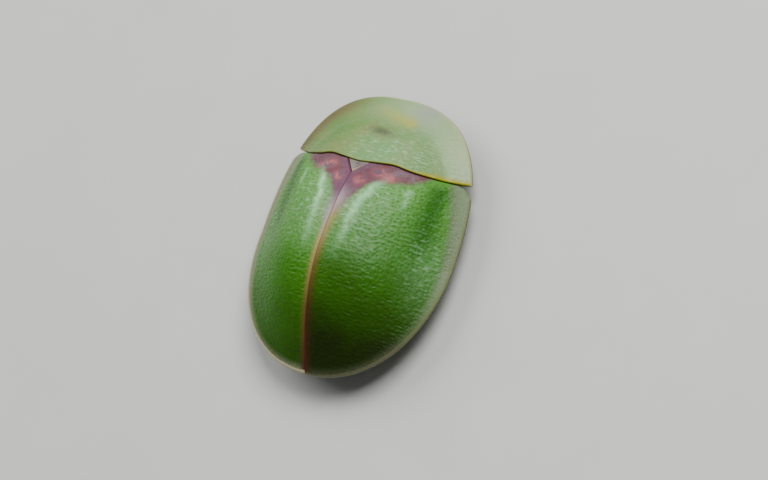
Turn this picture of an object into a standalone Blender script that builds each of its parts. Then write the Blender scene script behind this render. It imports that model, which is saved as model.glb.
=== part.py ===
"""A thistle tortoise beetle at rest, life size, in named pieces.

The head points to -Y, the beetle's left is +X and the floor is z = 0. Sizes are in millimetres
and each finished mesh is brought to metres, because Blender's tolerances suit larger meshes.
"""
import math

import bmesh
import bpy
from mathutils import Matrix, Vector

MM = 0.001

# Shell outline, seen from above: a superellipse in front of the widest place and one behind it
LENGTH = 7.2
HALF_WIDTH = 2.75
PRONOTUM_LENGTH = 1.74
WIDEST_Y = 0.31
FRONT_REACH = LENGTH / 2 + WIDEST_Y
REAR_REACH = LENGTH / 2 - WIDEST_Y
FRONT_POWER = 2.58
REAR_POWER = 2.14
CHORD_Y = PRONOTUM_LENGTH - LENGTH / 2

# Shell height: a crown and a flatter apron over a rim that rises towards both ends
RIM_Z = 0.70
REAR_LIFT = 0.31
FRONT_LIFT = 0.07
DOME_HEIGHT = 1.57
CROWN_PART = 0.8
CROWN_POWER = 2.0
CROWN_BLUNTNESS = 1.257
SIDE_POWER = 0.4
SIDE_BLUNTNESS = 0.6
APRON_POWER = 3

# Shell walls, from the middle out to the thin edge of the margin
MIDDLE_WALL = 0.45
MARGIN_WALL = 0.18
EDGE_WALL = 0.12
MIDDLE_SHARE = 0.55
MARGIN_SHARE = 0.85

# Gap that neighbouring pieces keep
GAP = 0.05

# Pronotum: its hind margin has two shallow bays beside a blunt middle lobe
HIND_RISE = 0.19
LOBE_RISE = 0.05
LOBE_HALF = 0.35
BAY_DEPTH = 0.05
BAY_X = 0.90
BAY_HALF = 0.30
CORNER_TIP = 0.996
PRONOTUM_COLUMNS = 22
PRONOTUM_ROWS = 9
PRONOTUM_ROW_POWER = 1.15

# Scutellum
SCUTELLUM_HALF = 0.31
SCUTELLUM_LENGTH = 0.33
CORNER_BLUNT = 0.96
NOTCH_GAP = 1.5 * GAP
SCUTELLUM_COLUMNS = 8
SCUTELLUM_ROWS = 3

# Wing cases: raised suture, a costa on each side and rounded shoulders
SUTURE_RIDGE = 0.045
SUTURE_HALF = 0.16
SUTURE_TOP = 0.38
COSTA_RIDGE = 0.035
COSTA_HALF = 0.13
COSTA_SHARE = 0.162
COSTA_SPREAD = 0.147
COSTA_FADE = 0.65
COSTA_START_Y = -1.26
SHOULDER_X = 2.20
SHOULDER_WIDTH = 0.40
SHOULDER_ROUND = 0.32
ELYTRON_FRONT_ROWS = 12
ELYTRON_REAR_ROWS = 15
ELYTRON_ROW_POWER = 1.25
LAST_ROW_ANGLE = 0.487 * math.pi
STRAIGHT_AFTER = 1.6
SETTLING_STEPS = 8
SIDE_COLUMNS = 5
MARGIN_SHARES = (0.80, 0.86, 0.92, 0.97, 1.0)

# Underside of the body
BODY_SHARE = 0.74
BODY_COLUMNS = 12
BELLY_Z = 0.77
BELLY_SIDE_RISE = 0.08
BELLY_REAR_RISE = 0.26
KEEL_DROP = 0.10
KEEL_HALF = 0.11
PROTHORAX_Y = (-2.54, -1.74)
PROTHORAX_HALF = 1.25
PROTHORAX_FRONT_HALF = 0.75
PROTHORAX_WIDENS = 0.4
MESOTHORAX_Y = (-1.69, -0.86)
METATHORAX_Y = (-0.81, 0.33)
THORAX_ROWS = 4
ABDOMEN_Y = (0.38, 2.70)
STERNITES = 5
STERNITE_STEP = 0.05
STERNITE_ROWS = (0.08, 0.55, 1.0)

# Head, which hangs under the front of the pronotum
HEAD_CENTRE = Vector((0.0, -2.83, 0.60))
HEAD_RADII = Vector((0.58, 0.38, 0.36))
NECK_CENTRE = Vector((0.0, -2.64, 0.84))
NECK_RADII = Vector((0.36, 0.20, 0.16))
EYE_CENTRE = Vector((0.49, -2.88, 0.69))
EYE_RADII = Vector((0.16, 0.18, 0.25))

# Mouthparts, below the level where the head ends
MOUTH_Z = 0.33
LIP_CENTRE = Vector((0.0, -3.02, 0.25))
LIP_RADII = (0.20, 0.09, 0.09)
CHIN_CENTRE = Vector((0.0, -2.80, 0.24))
CHIN_RADII = (0.24, 0.18, 0.10)
JAW_CENTRE = Vector((0.12, -2.94, 0.22))
JAW_RADII = (0.12, 0.12, 0.12)
PALP_ROUTE = ((0.16, -2.80, 0.22), (0.30, -2.86, 0.20), (0.35, -3.00, 0.16), (0.33, -3.14, 0.11))
PALP_RADII = (0.075, 0.07, 0.065, 0.03)

# Antenna: eleven joints on a smooth sweep under the edge of the pronotum
ANTENNA_JOINTS = 11
CLUB_JOINTS = 5
STEPS_PER_JOINT = 3
ANTENNA_ROUTE = (
    Vector((0.20, -3.05, 0.58)),
    Vector((0.42, -3.26, 0.52)),
    Vector((0.86, -3.24, 0.49)),
    Vector((1.36, -3.03, 0.49)),
    Vector((1.76, -2.66, 0.51)),
    Vector((2.00, -2.22, 0.53)),
    Vector((2.06, -1.82, 0.54)),
)
SHAFT_RADIUS = 0.165
CLUB_RADIUS = 0.19
TIP_RADIUS = 0.08
JOINT_WAIST = 0.80

# Legs: hip, knee, ankle and toe of the left side
LEGS = {
    "fore": ((0.42, -2.00, 0.47), (1.08, -2.56, 0.45), (1.36, -2.09, 0.27), (1.88, -2.20, 0.10)),
    "mid": ((0.50, -1.16, 0.47), (1.36, -1.26, 0.45), (1.82, -0.98, 0.27), (2.24, -0.64, 0.10)),
    "hind": ((0.46, 0.06, 0.47), (1.36, 0.52, 0.45), (1.74, 1.17, 0.27), (1.90, 1.76, 0.10)),
}
COXA_RADII = (0.27, 0.27, 0.36)
COXA_RAISE = 0.06
COXA_REACH = 0.22
HIP_RADIUS = 0.20
FEMUR_RADIUS = 0.25
KNEE_RADIUS = 0.20
SHIN_RADIUS = 0.215
ANKLE_RADIUS = 0.22

# Foot: places are shares of its length from ankle to toe, then sizes and heights
FIRST_JOINT_END = 0.32
FIRST_JOINT_Z = 0.10
FIRST_JOINT_RADII = (0.17, 0.14)
SECOND_JOINT_AT = 0.40
SECOND_JOINT_Z = 0.08
SECOND_JOINT_RADII = (0.15, 0.17, 0.12)
LOBE_AT = 0.66
LOBE_ASIDE = 0.085
LOBE_Z = 0.07
LOBE_RADII = (0.17, 0.10, 0.10)
LOBE_TURN = math.radians(14)
CLAW_JOINT_ROUTE = ((0.62, 0.13), (0.80, 0.13), (0.98, 0.10))
CLAW_JOINT_RADII = (0.06, 0.06, 0.055)
CLAW_ROUTE = ((0.93, 0.01, 0.10), (1.04, 0.06, 0.09), (1.12, 0.10, 0.04))
CLAW_RADII = (0.04, 0.04, 0.018)

# Swelling of a limb: share of its length and share of the way to its middle radius
LIMB_SWELLING = ((0.0, 0.0), (0.3, 0.9), (0.62, 1.0))
BALL_ANGLES = (math.radians(15), math.radians(50))

# Colours and finishes of the pieces: colour, roughness
FINISHES = {
    "pronotum_olive": ((0.30, 0.33, 0.06, 1.0), 0.34),
    "wing_case_green": ((0.09, 0.27, 0.03, 1.0), 0.30),
    "scutellum_olive": ((0.22, 0.22, 0.08, 1.0), 0.38),
    "body_black": ((0.012, 0.011, 0.010, 1.0), 0.42),
    "leg_amber": ((0.52, 0.30, 0.05, 1.0), 0.38),
    "antenna_amber": ((0.50, 0.27, 0.05, 1.0), 0.42),
    "eye_dark": ((0.006, 0.006, 0.007, 1.0), 0.18),
}


def clamp(value, low=0.0, high=1.0):
    return max(low, min(high, value))


def blend(first, last, share):
    return first + (last - first) * share


def ease(share):
    share = clamp(share)
    return share * share * (3 - 2 * share)


# The shell as one height over x and y

def shell_share(x, y):
    """0 at the middle of the shell and 1 on its outline."""
    front = y < WIDEST_Y
    reach = FRONT_REACH if front else REAR_REACH
    power = FRONT_POWER if front else REAR_POWER
    across = (abs(x) / HALF_WIDTH) ** power
    along = (abs(y - WIDEST_Y) / reach) ** power
    return (across + along) ** (1 / power)


def half_width_at(y, share=1.0):
    """Half width of the contour on which shell_share is constant."""
    front = y < WIDEST_Y
    reach = FRONT_REACH if front else REAR_REACH
    power = FRONT_POWER if front else REAR_POWER
    rest = share ** power - (abs(y - WIDEST_Y) / reach) ** power
    return HALF_WIDTH * max(rest, 0.0) ** (1 / power)


def front_y(x):
    rest = 1 - (abs(x) / HALF_WIDTH) ** FRONT_POWER
    return WIDEST_Y - FRONT_REACH * max(rest, 0.0) ** (1 / FRONT_POWER)


def rim_z(y):
    if y > WIDEST_Y:
        return RIM_Z + REAR_LIFT * (y - WIDEST_Y) / REAR_REACH
    return RIM_Z + FRONT_LIFT * clamp((CHORD_Y - y) / PRONOTUM_LENGTH)


def dome_z(x, y):
    share = clamp(shell_share(x, y), 1e-6, 1.0)
    side = clamp((abs(x) / HALF_WIDTH / share) ** 2)
    steepness = CROWN_BLUNTNESS + SIDE_BLUNTNESS * side
    crown = (1 - share ** (CROWN_POWER + SIDE_POWER * side)) ** steepness
    apron = 1 - share ** APRON_POWER
    return rim_z(y) + DOME_HEIGHT * blend(apron, crown, CROWN_PART)


def wall_at(x, y):
    share = shell_share(x, y)
    if share < MARGIN_SHARE:
        outward = (share - MIDDLE_SHARE) / (MARGIN_SHARE - MIDDLE_SHARE)
        return blend(MIDDLE_WALL, MARGIN_WALL, ease(outward))
    return blend(MARGIN_WALL, EDGE_WALL, clamp((share - MARGIN_SHARE) / (1 - MARGIN_SHARE)))


def under_z(x, y):
    return dome_z(x, y) - wall_at(x, y)


def hind_y(x):
    """Hind margin of the pronotum."""
    rise = HIND_RISE * (1 - (abs(x) / CORNER_X) ** 4)
    lobe = LOBE_RISE * math.exp(-(x / LOBE_HALF) ** 2)
    bay = BAY_DEPTH * math.exp(-((abs(x) - BAY_X) / BAY_HALF) ** 2)
    return CHORD_Y + rise + lobe - bay


CORNER_X = half_width_at(CHORD_Y)
SCUTELLUM_BASE_Y = hind_y(SCUTELLUM_HALF) + GAP
SCUTELLUM_TIP_Y = SCUTELLUM_BASE_Y + SCUTELLUM_LENGTH


# Mesh tools

def mesh_of(shape, name):
    mesh = bpy.data.meshes.new(name)
    shape.to_mesh(mesh)
    shape.free()
    return mesh


def taken(holder):
    """Evaluated mesh of a helper object as a bmesh, with the helper removed."""
    graph = bpy.context.evaluated_depsgraph_get()
    mesh = bpy.data.meshes.new_from_object(holder.evaluated_get(graph))
    shape = bmesh.new()
    shape.from_mesh(mesh)
    bpy.data.meshes.remove(mesh)
    bpy.data.objects.remove(holder)
    bmesh.ops.remove_doubles(shape, verts=shape.verts[:], dist=1e-5)
    bmesh.ops.recalc_face_normals(shape, faces=shape.faces[:])
    return shape


def largest_body(shape):
    """Drops every loose scrap but the body with the most vertices."""
    left = set(shape.verts)
    bodies = []
    while left:
        reached = {left.pop()}
        edge_of_body = list(reached)
        while edge_of_body:
            spot = edge_of_body.pop()
            for link in spot.link_edges:
                other = link.other_vert(spot)
                if other in left:
                    left.discard(other)
                    reached.add(other)
                    edge_of_body.append(other)
        bodies.append(reached)
    bodies.sort(key=len)
    for scrap in bodies[:-1]:
        bmesh.ops.delete(shape, geom=list(scrap), context="VERTS")
    return shape


def combined(first, others, operation):
    """Boolean of closed meshes, in millimetres."""
    group = bpy.data.collections.new("helpers")
    bpy.context.scene.collection.children.link(group)
    helpers = []
    for other in others:
        helper = bpy.data.objects.new("helper", mesh_of(other, "helper"))
        group.objects.link(helper)
        helpers.append(helper)
    base = bpy.data.objects.new("base", mesh_of(first, "base"))
    bpy.context.scene.collection.objects.link(base)
    boolean = base.modifiers.new("combined", "BOOLEAN")
    boolean.operation = operation
    boolean.operand_type = "COLLECTION"
    boolean.collection = group
    boolean.solver = "EXACT"
    shape = taken(base)
    for helper in helpers:
        bpy.data.objects.remove(helper)
    bpy.data.collections.remove(group)
    return largest_body(shape)


def fused(pieces):
    return combined(pieces[0], pieces[1:], "UNION")


def carved(shape, cutters):
    return combined(shape, cutters, "DIFFERENCE")


def trimmed(shape, point, outward):
    """Cuts away what lies past a plane and closes the flat face."""
    geometry = shape.verts[:] + shape.edges[:] + shape.faces[:]
    cut = bmesh.ops.bisect_plane(shape, geom=geometry, dist=1e-6, plane_co=point, plane_no=outward,
                                 clear_outer=True)
    rim = [item for item in cut["geom_cut"] if isinstance(item, bmesh.types.BMEdge)]
    bmesh.ops.edgeloop_fill(shape, edges=rim)
    bmesh.ops.recalc_face_normals(shape, faces=shape.faces[:])
    return shape


def ellipsoid(centre, radii, turn=None, sides=12, rings=8):
    shape = bmesh.new()
    bmesh.ops.create_uvsphere(shape, u_segments=sides, v_segments=rings, radius=1.0)
    size = Matrix.Diagonal((radii[0], radii[1], radii[2], 1.0))
    shape.transform(Matrix.Translation(centre) @ (turn or Matrix.Identity(4)) @ size)
    return shape


def tube(points, radii, roundness=3):
    """Closed round bar through the points, each with its own radius."""
    curve = bpy.data.curves.new("tube", "CURVE")
    curve.dimensions = "3D"
    curve.bevel_depth = 1.0
    curve.bevel_resolution = roundness
    curve.use_fill_caps = True
    spline = curve.splines.new("POLY")
    spline.points.add(len(points) - 1)
    for spot, place, radius in zip(spline.points, points, radii):
        spot.co = (place[0], place[1], place[2], 1.0)
        spot.radius = radius
    holder = bpy.data.objects.new("tube", curve)
    bpy.context.scene.collection.objects.link(holder)
    shape = taken(holder)
    bpy.data.curves.remove(curve)
    return shape


def limb(start, end, start_radius, middle_radius, end_radius):
    """Swollen bar with a ball at each end, centred on the two joints."""
    axis = end - start
    along = axis.normalized()
    points = []
    radii = []
    for angle in BALL_ANGLES:
        points.append(start - along * start_radius * math.cos(angle))
        radii.append(start_radius * math.sin(angle))
    for share, swelling in LIMB_SWELLING:
        points.append(start + axis * share)
        radii.append(blend(start_radius, middle_radius, swelling))
    points.append(end)
    radii.append(end_radius)
    for angle in reversed(BALL_ANGLES):
        points.append(end + along * end_radius * math.cos(angle))
        radii.append(end_radius * math.sin(angle))
    return tube(points, radii)


def plate(spots, top, bottom):
    """Closed plate over a grid of x and y, between a top and a bottom height."""
    rows = len(spots)
    columns = len(spots[0])
    shape = bmesh.new()
    bmesh.ops.create_grid(shape, x_segments=columns - 1, y_segments=rows - 1, size=1.0)
    shape.verts.ensure_lookup_table()
    for row in range(rows):
        for column in range(columns):
            x, y = spots[row][column]
            shape.verts[row * columns + column].co = (x, y, 0.0)
    lower = shape.verts[:]
    raised = bmesh.ops.extrude_face_region(shape, geom=shape.faces[:], use_keep_orig=True)
    upper = [item for item in raised["geom"] if isinstance(item, bmesh.types.BMVert)]
    for spot in lower:
        spot.co.z = bottom(spot.co.x, spot.co.y)
    for spot in upper:
        spot.co.z = top(spot.co.x, spot.co.y)
    bmesh.ops.recalc_face_normals(shape, faces=shape.faces[:])
    return shape


def mirrored(shape):
    twin = shape.copy()
    twin.transform(Matrix.Diagonal((-1.0, 1.0, 1.0, 1.0)))
    bmesh.ops.reverse_faces(twin, faces=twin.faces[:])
    return twin


# Scene objects

def clear_scene():
    for thing in list(bpy.data.objects):
        bpy.data.objects.remove(thing)


def finish_named(name):
    found = bpy.data.materials.get(name)
    if found:
        return found
    colour, roughness = FINISHES[name]
    finish = bpy.data.materials.new(name)
    finish.use_nodes = True
    shader = finish.node_tree.nodes["Principled BSDF"]
    shader.inputs["Base Color"].default_value = colour
    shader.inputs["Roughness"].default_value = roughness
    finish.diffuse_color = colour
    return finish


def add_piece(name, shape, finish):
    shape.transform(Matrix.Scale(MM, 4))
    mesh = mesh_of(shape, name)
    mesh.materials.append(finish_named(finish))
    mesh.shade_smooth()
    mesh.set_sharp_from_angle(angle=math.radians(40))
    piece = bpy.data.objects.new(name, mesh)
    PARTS.objects.link(piece)


def add_pair(name, left, finish):
    right = mirrored(left)
    add_piece(name + "_left", left, finish)
    add_piece(name + "_right", right, finish)


# Shell pieces

def make_pronotum():
    spots = []
    for row in range(PRONOTUM_ROWS + 1):
        back = (row / PRONOTUM_ROWS) ** PRONOTUM_ROW_POWER
        line = []
        for column in range(PRONOTUM_COLUMNS + 1):
            x = CORNER_TIP * CORNER_X * math.sin(math.pi * (column / PRONOTUM_COLUMNS - 0.5))
            line.append((x, blend(front_y(x), hind_y(x), back)))
        spots.append(line)
    add_piece("pronotum", plate(spots, dome_z, under_z), "pronotum_olive")


def make_scutellum():
    """Blunt triangle in the notch between the wing cases."""
    spots = []
    for row in range(SCUTELLUM_ROWS + 1):
        line = []
        for column in range(SCUTELLUM_COLUMNS + 1):
            x = CORNER_BLUNT * SCUTELLUM_HALF * (2 * column / SCUTELLUM_COLUMNS - 1)
            rear = SCUTELLUM_TIP_Y - SCUTELLUM_LENGTH * abs(x) / SCUTELLUM_HALF
            line.append((x, blend(hind_y(x) + GAP, rear, row / SCUTELLUM_ROWS)))
        spots.append(line)
    add_piece("scutellum", plate(spots, dome_z, under_z), "scutellum_olive")


def elytron_base_y(x):
    """Front edge of a wing case, with its rounded shoulder."""
    shoulder = SHOULDER_ROUND * clamp((x - SHOULDER_X) / SHOULDER_WIDTH, 0.0, 1.5) ** 2
    return hind_y(min(x, CORNER_X)) + GAP + shoulder


def inner_x(y):
    """Inner edge of a wing case: beside the scutellum, then along the suture."""
    slope = SCUTELLUM_HALF / SCUTELLUM_LENGTH
    return max(GAP / 2, (SCUTELLUM_TIP_Y - y) * slope + NOTCH_GAP)


def costa_share(y):
    return COSTA_SHARE + COSTA_SPREAD * math.exp((COSTA_START_Y - y) / COSTA_FADE)


def elytron_z(x, y):
    suture = SUTURE_RIDGE * clamp(1 - x / SUTURE_HALF)
    costa_x = costa_share(y) * half_width_at(y)
    costa = COSTA_RIDGE * clamp(1 - abs(x - costa_x) / COSTA_HALF)
    return dome_z(x, y) + suture + costa


def elytron_spot(row_y, share):
    """Row lines start along the curved front edge and straighten towards the rear."""
    fade = clamp(1 - (row_y - SCUTELLUM_BASE_Y) / STRAIGHT_AFTER) ** 2
    y = row_y
    x = 0.0
    for _ in range(SETTLING_STEPS):
        x = blend(inner_x(y), half_width_at(y), share)
        y = row_y + (elytron_base_y(x) - SCUTELLUM_BASE_Y) * fade
    return x, y


def elytron_rows():
    """Row heights: close together at the front edge, then by angle round the rear end."""
    rows = [blend(SCUTELLUM_BASE_Y, WIDEST_Y, (row / ELYTRON_FRONT_ROWS) ** ELYTRON_ROW_POWER)
            for row in range(ELYTRON_FRONT_ROWS)]
    for row in range(ELYTRON_REAR_ROWS + 1):
        angle = LAST_ROW_ANGLE * row / ELYTRON_REAR_ROWS
        rows.append(WIDEST_Y + REAR_REACH * math.sin(angle) ** (2 / REAR_POWER))
    return rows


def elytron_shares(row_y):
    """Column places: the suture ridge, the costa, the side and the margin."""
    costa = costa_share(row_y)
    half = COSTA_HALF / HALF_WIDTH
    ridge = SUTURE_HALF / HALF_WIDTH
    side = [blend(costa + half, MARGIN_SHARES[0], step / SIDE_COLUMNS) for step in range(1, SIDE_COLUMNS)]
    return [0.0, ridge * SUTURE_TOP, ridge, costa - half, costa, costa + half, *side, *MARGIN_SHARES]


def make_elytra():
    spots = [[elytron_spot(row_y, share) for share in elytron_shares(row_y)] for row_y in elytron_rows()]
    add_pair("elytron", plate(spots, elytron_z, under_z), "wing_case_green")


# Pieces of the underside

def body_top(x, y):
    return under_z(x, y) - GAP


def body_half(y):
    return half_width_at(y, BODY_SHARE)


def prothorax_half(y):
    return blend(PROTHORAX_FRONT_HALF, PROTHORAX_HALF, ease((y - PROTHORAX_Y[0]) / PROTHORAX_WIDENS))


def belly_z(x, y):
    """Underside of the body: a keel between the front legs, sides and rear that rise."""
    sides = BELLY_SIDE_RISE * (x / HALF_WIDTH / BODY_SHARE) ** 2
    rear = BELLY_REAR_RISE * clamp((y - ABDOMEN_Y[0]) / (ABDOMEN_Y[1] - ABDOMEN_Y[0])) ** 2
    behind_legs = ease((y - PROTHORAX_Y[0]) / (METATHORAX_Y[1] - PROTHORAX_Y[0]))
    keel = KEEL_DROP * math.exp(-(x / KEEL_HALF) ** 2) * (1 - behind_legs)
    return BELLY_Z + sides + rear - keel


def sternite_z(x, y):
    """Belly with a small step at the hind edge of each sternite."""
    along = clamp((y - ABDOMEN_Y[0]) / (ABDOMEN_Y[1] - ABDOMEN_Y[0])) * STERNITES
    return belly_z(x, y) - STERNITE_STEP * (along - math.floor(along - 1e-6))


def body_spots(rows, half_at):
    spots = []
    for y in rows:
        turns = [math.pi * (column / BODY_COLUMNS - 0.5) for column in range(BODY_COLUMNS + 1)]
        spots.append([(half_at(y) * math.sin(turn), y) for turn in turns])
    return spots


def make_thorax():
    segments = (
        ("prothorax", PROTHORAX_Y, prothorax_half),
        ("mesothorax", MESOTHORAX_Y, body_half),
        ("metathorax", METATHORAX_Y, body_half),
    )
    for name, ends, half_at in segments:
        rows = [blend(ends[0], ends[1], row / THORAX_ROWS) for row in range(THORAX_ROWS + 1)]
        add_piece(name, plate(body_spots(rows, half_at), body_top, belly_z), "body_black")


def make_abdomen():
    rows = [ABDOMEN_Y[0]]
    length = (ABDOMEN_Y[1] - ABDOMEN_Y[0]) / STERNITES
    for sternite in range(STERNITES):
        front = ABDOMEN_Y[0] + length * sternite
        rows += [front + length * share for share in STERNITE_ROWS]
    add_piece("abdomen", plate(body_spots(rows, body_half), body_top, sternite_z), "body_black")


# Head

def grown(radii):
    return radii + Vector((GAP, GAP, GAP))


def on_side(point, side):
    return Vector((side * point[0], point[1], point[2]))


def make_head():
    skull = ellipsoid(HEAD_CENTRE, HEAD_RADII, sides=20, rings=12)
    neck = ellipsoid(NECK_CENTRE, NECK_RADII)
    sockets = [ellipsoid(on_side(EYE_CENTRE, side), grown(EYE_RADII), sides=16, rings=10) for side in (1, -1)]
    head = carved(fused([skull, neck]), sockets)
    head = trimmed(head, Vector((0, PROTHORAX_Y[0] - GAP, 0)), Vector((0, 1, 0)))
    head = trimmed(head, Vector((0, 0, MOUTH_Z)), Vector((0, 0, -1)))
    add_piece("head", head, "body_black")
    add_pair("eye", ellipsoid(EYE_CENTRE, EYE_RADII, sides=16, rings=10), "eye_dark")


def make_mouthparts():
    """Lip and chin, and on each side a jaw and a feeler that points forward and down."""
    pieces = [ellipsoid(LIP_CENTRE, LIP_RADII), ellipsoid(CHIN_CENTRE, CHIN_RADII)]
    for side in (1, -1):
        pieces.append(ellipsoid(on_side(JAW_CENTRE, side), JAW_RADII))
        palp = [on_side(spot, side) for spot in PALP_ROUTE]
        pieces.append(tube(palp, PALP_RADII, roundness=2))
    mouth = trimmed(fused(pieces), Vector((0, 0, MOUTH_Z - GAP)), Vector((0, 0, 1)))
    add_piece("mouthparts", mouth, "body_black")


def smooth_route(corners, steps):
    """Points of an even curve through the corners."""
    corners = [2 * corners[0] - corners[1], *corners, 2 * corners[-1] - corners[-2]]
    points = []
    spans = len(corners) - 3
    for step in range(steps + 1):
        place = min(step / steps * spans, spans - 1e-9)
        span = int(place)
        t = place - span
        a, b, c, d = corners[span:span + 4]
        points.append(0.5 * (2 * b + (c - a) * t + (2 * a - 5 * b + 4 * c - d) * t ** 2
                             + (3 * b - a - 3 * c + d) * t ** 3))
    return points


def make_antennae():
    """Feeler with a waist between its joints, thicker in its last joints."""
    points = smooth_route(ANTENNA_ROUTE, ANTENNA_JOINTS * STEPS_PER_JOINT)
    radii = []
    for step in range(len(points)):
        joint = step / STEPS_PER_JOINT
        swelling = ease((joint - (ANTENNA_JOINTS - CLUB_JOINTS - 1)) / 2)
        waist = JOINT_WAIST if step % STEPS_PER_JOINT == 0 else 1.0
        radii.append(waist * blend(SHAFT_RADIUS, CLUB_RADIUS, swelling))
    radii[-1] = TIP_RADIUS
    antenna = tube(points, radii, roundness=2)
    antenna = carved(antenna, [ellipsoid(HEAD_CENTRE, grown(HEAD_RADII), sides=24, rings=16)])
    add_pair("antenna", antenna, "antenna_amber")


# Legs

def make_coxa(name, hip, knee):
    coxa = ellipsoid(hip + Vector((0, 0, COXA_RAISE)), COXA_RADII, sides=14)
    coxa = trimmed(coxa, Vector((0, 0, BELLY_Z - GAP)), Vector((0, 0, 1)))
    outward = (knee - hip).normalized()
    coxa = trimmed(coxa, hip + outward * (COXA_REACH - GAP), outward)
    add_pair("coxa_" + name, coxa, "body_black")


def mitre_at(before, joint, after):
    """Normal of the plane in which two bars meet at a joint."""
    return ((joint - before).normalized() + (after - joint).normalized()).normalized()


def make_femur(name, hip, knee, ankle):
    outward = (knee - hip).normalized()
    femur = limb(hip, knee, HIP_RADIUS, FEMUR_RADIUS, KNEE_RADIUS)
    femur = trimmed(femur, hip + outward * COXA_REACH, -outward)
    mitre = mitre_at(hip, knee, ankle)
    femur = trimmed(femur, knee - mitre * GAP / 2, mitre)
    add_pair("femur_" + name, femur, "leg_amber")


def make_tibia(name, hip, knee, ankle, toe):
    tibia = limb(knee, ankle, KNEE_RADIUS, SHIN_RADIUS, ANKLE_RADIUS)
    mitre = mitre_at(hip, knee, ankle)
    tibia = trimmed(tibia, knee + mitre * GAP / 2, -mitre)
    mitre = mitre_at(knee, ankle, toe)
    tibia = trimmed(tibia, ankle - mitre * GAP / 2, mitre)
    add_pair("tibia_" + name, tibia, "leg_amber")


def make_tarsus(name, knee, ankle, toe):
    """Two broad joints, a lobed third one and the claw joint, flat under the sole."""
    flat = Vector((toe.x - ankle.x, toe.y - ankle.y, 0))
    forward = flat.normalized()
    aside = Vector((-forward.y, forward.x, 0))
    heading = math.atan2(forward.y, forward.x)

    def spot(along, across, height):
        """A place on the foot: share of its length, then millimetres."""
        return Vector((ankle.x, ankle.y, height)) + flat * along + aside * across

    first_end = spot(FIRST_JOINT_END, 0, FIRST_JOINT_Z)
    pieces = [limb(ankle, first_end, ANKLE_RADIUS, FIRST_JOINT_RADII[0], FIRST_JOINT_RADII[1])]
    pieces.append(ellipsoid(spot(SECOND_JOINT_AT, 0, SECOND_JOINT_Z), SECOND_JOINT_RADII,
                            Matrix.Rotation(heading, 4, "Z"), sides=10, rings=6))
    for side in (1, -1):
        turn = Matrix.Rotation(heading + side * LOBE_TURN, 4, "Z")
        lobe = spot(LOBE_AT, side * LOBE_ASIDE, LOBE_Z)
        pieces.append(ellipsoid(lobe, LOBE_RADII, turn, sides=10, rings=6))
    claw_joint = [spot(along, 0, height) for along, height in CLAW_JOINT_ROUTE]
    pieces.append(tube(claw_joint, CLAW_JOINT_RADII, roundness=2))
    for side in (1, -1):
        claw = [spot(along, side * across, height) for along, across, height in CLAW_ROUTE]
        pieces.append(tube(claw, CLAW_RADII, roundness=1))
    mitre = mitre_at(knee, ankle, first_end)
    tarsus = trimmed(fused(pieces), ankle + mitre * GAP / 2, -mitre)
    tarsus = trimmed(tarsus, Vector((0, 0, 0)), Vector((0, 0, -1)))
    add_pair("tarsus_" + name, tarsus, "leg_amber")


def make_legs():
    for name, joints in LEGS.items():
        hip, knee, ankle, toe = (Vector(joint) for joint in joints)
        make_coxa(name, hip, knee)
        make_femur(name, hip, knee, ankle)
        make_tibia(name, hip, knee, ankle, toe)
        make_tarsus(name, knee, ankle, toe)


clear_scene()
PARTS = bpy.data.collections.new("tortoise_beetle")
bpy.context.scene.collection.children.link(PARTS)
make_pronotum()
make_scutellum()
make_elytra()
make_thorax()
make_abdomen()
make_head()
make_mouthparts()
make_antennae()
make_legs()
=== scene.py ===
"""Looks of a thistle tortoise beetle at rest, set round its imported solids.

The functions work in millimetres, in the frame of the solids: the head points to -Y, the beetle's
left is +X and the floor is z = 0. Each finished mesh is brought to metres.
"""
import math

import bmesh
import bpy
import numpy as np
from mathutils import Matrix, Vector


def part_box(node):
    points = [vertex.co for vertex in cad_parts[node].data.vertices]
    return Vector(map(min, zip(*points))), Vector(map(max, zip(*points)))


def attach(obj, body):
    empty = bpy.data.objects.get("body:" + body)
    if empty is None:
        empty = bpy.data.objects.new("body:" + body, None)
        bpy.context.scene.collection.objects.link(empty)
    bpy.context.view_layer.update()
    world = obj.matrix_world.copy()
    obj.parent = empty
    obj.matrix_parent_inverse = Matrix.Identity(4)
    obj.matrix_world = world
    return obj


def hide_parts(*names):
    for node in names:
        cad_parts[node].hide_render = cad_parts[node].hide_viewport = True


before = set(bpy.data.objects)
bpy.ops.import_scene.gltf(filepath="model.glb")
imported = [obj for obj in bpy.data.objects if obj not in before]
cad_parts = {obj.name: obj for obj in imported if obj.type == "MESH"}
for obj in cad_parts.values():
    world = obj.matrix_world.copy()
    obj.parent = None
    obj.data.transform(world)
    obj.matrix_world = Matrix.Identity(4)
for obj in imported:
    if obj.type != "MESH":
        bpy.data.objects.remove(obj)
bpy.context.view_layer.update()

bl_info = {
    "name": "Tortoise Beetle",
    "version": (1, 0, 0),
    "blender": (4, 5, 0),
    "location": "3D View > Sidebar > Beetle",
    "description": "Makes the shell, body, limbs, finishes and stage of a life-size tortoise beetle",
    "category": "Object",
}

MM = 0.001
BODY = "root"
UPWARDS = (0.0, 0.0, 1.0)

# Outline and height of the shell, as in the solids
HALF_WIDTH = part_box("elytron_left")[1].x / MM
HALF_LENGTH = -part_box("pronotum")[0].y / MM
PRONOTUM_LENGTH = 1.74
WIDEST_Y = 0.31
FRONT_REACH = HALF_LENGTH + WIDEST_Y
REAR_REACH = HALF_LENGTH - WIDEST_Y
FRONT_POWER = 2.58
REAR_POWER = 2.14
CHORD_Y = PRONOTUM_LENGTH - HALF_LENGTH
RIM_Z = 0.70
REAR_LIFT = 0.31
FRONT_LIFT = 0.07
DOME_HEIGHT = 1.57
CROWN_PART = 0.8
CROWN_POWER = 2.0
CROWN_BLUNTNESS = 1.257
SIDE_POWER = 0.4
SIDE_BLUNTNESS = 0.6
APRON_POWER = 3

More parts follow.
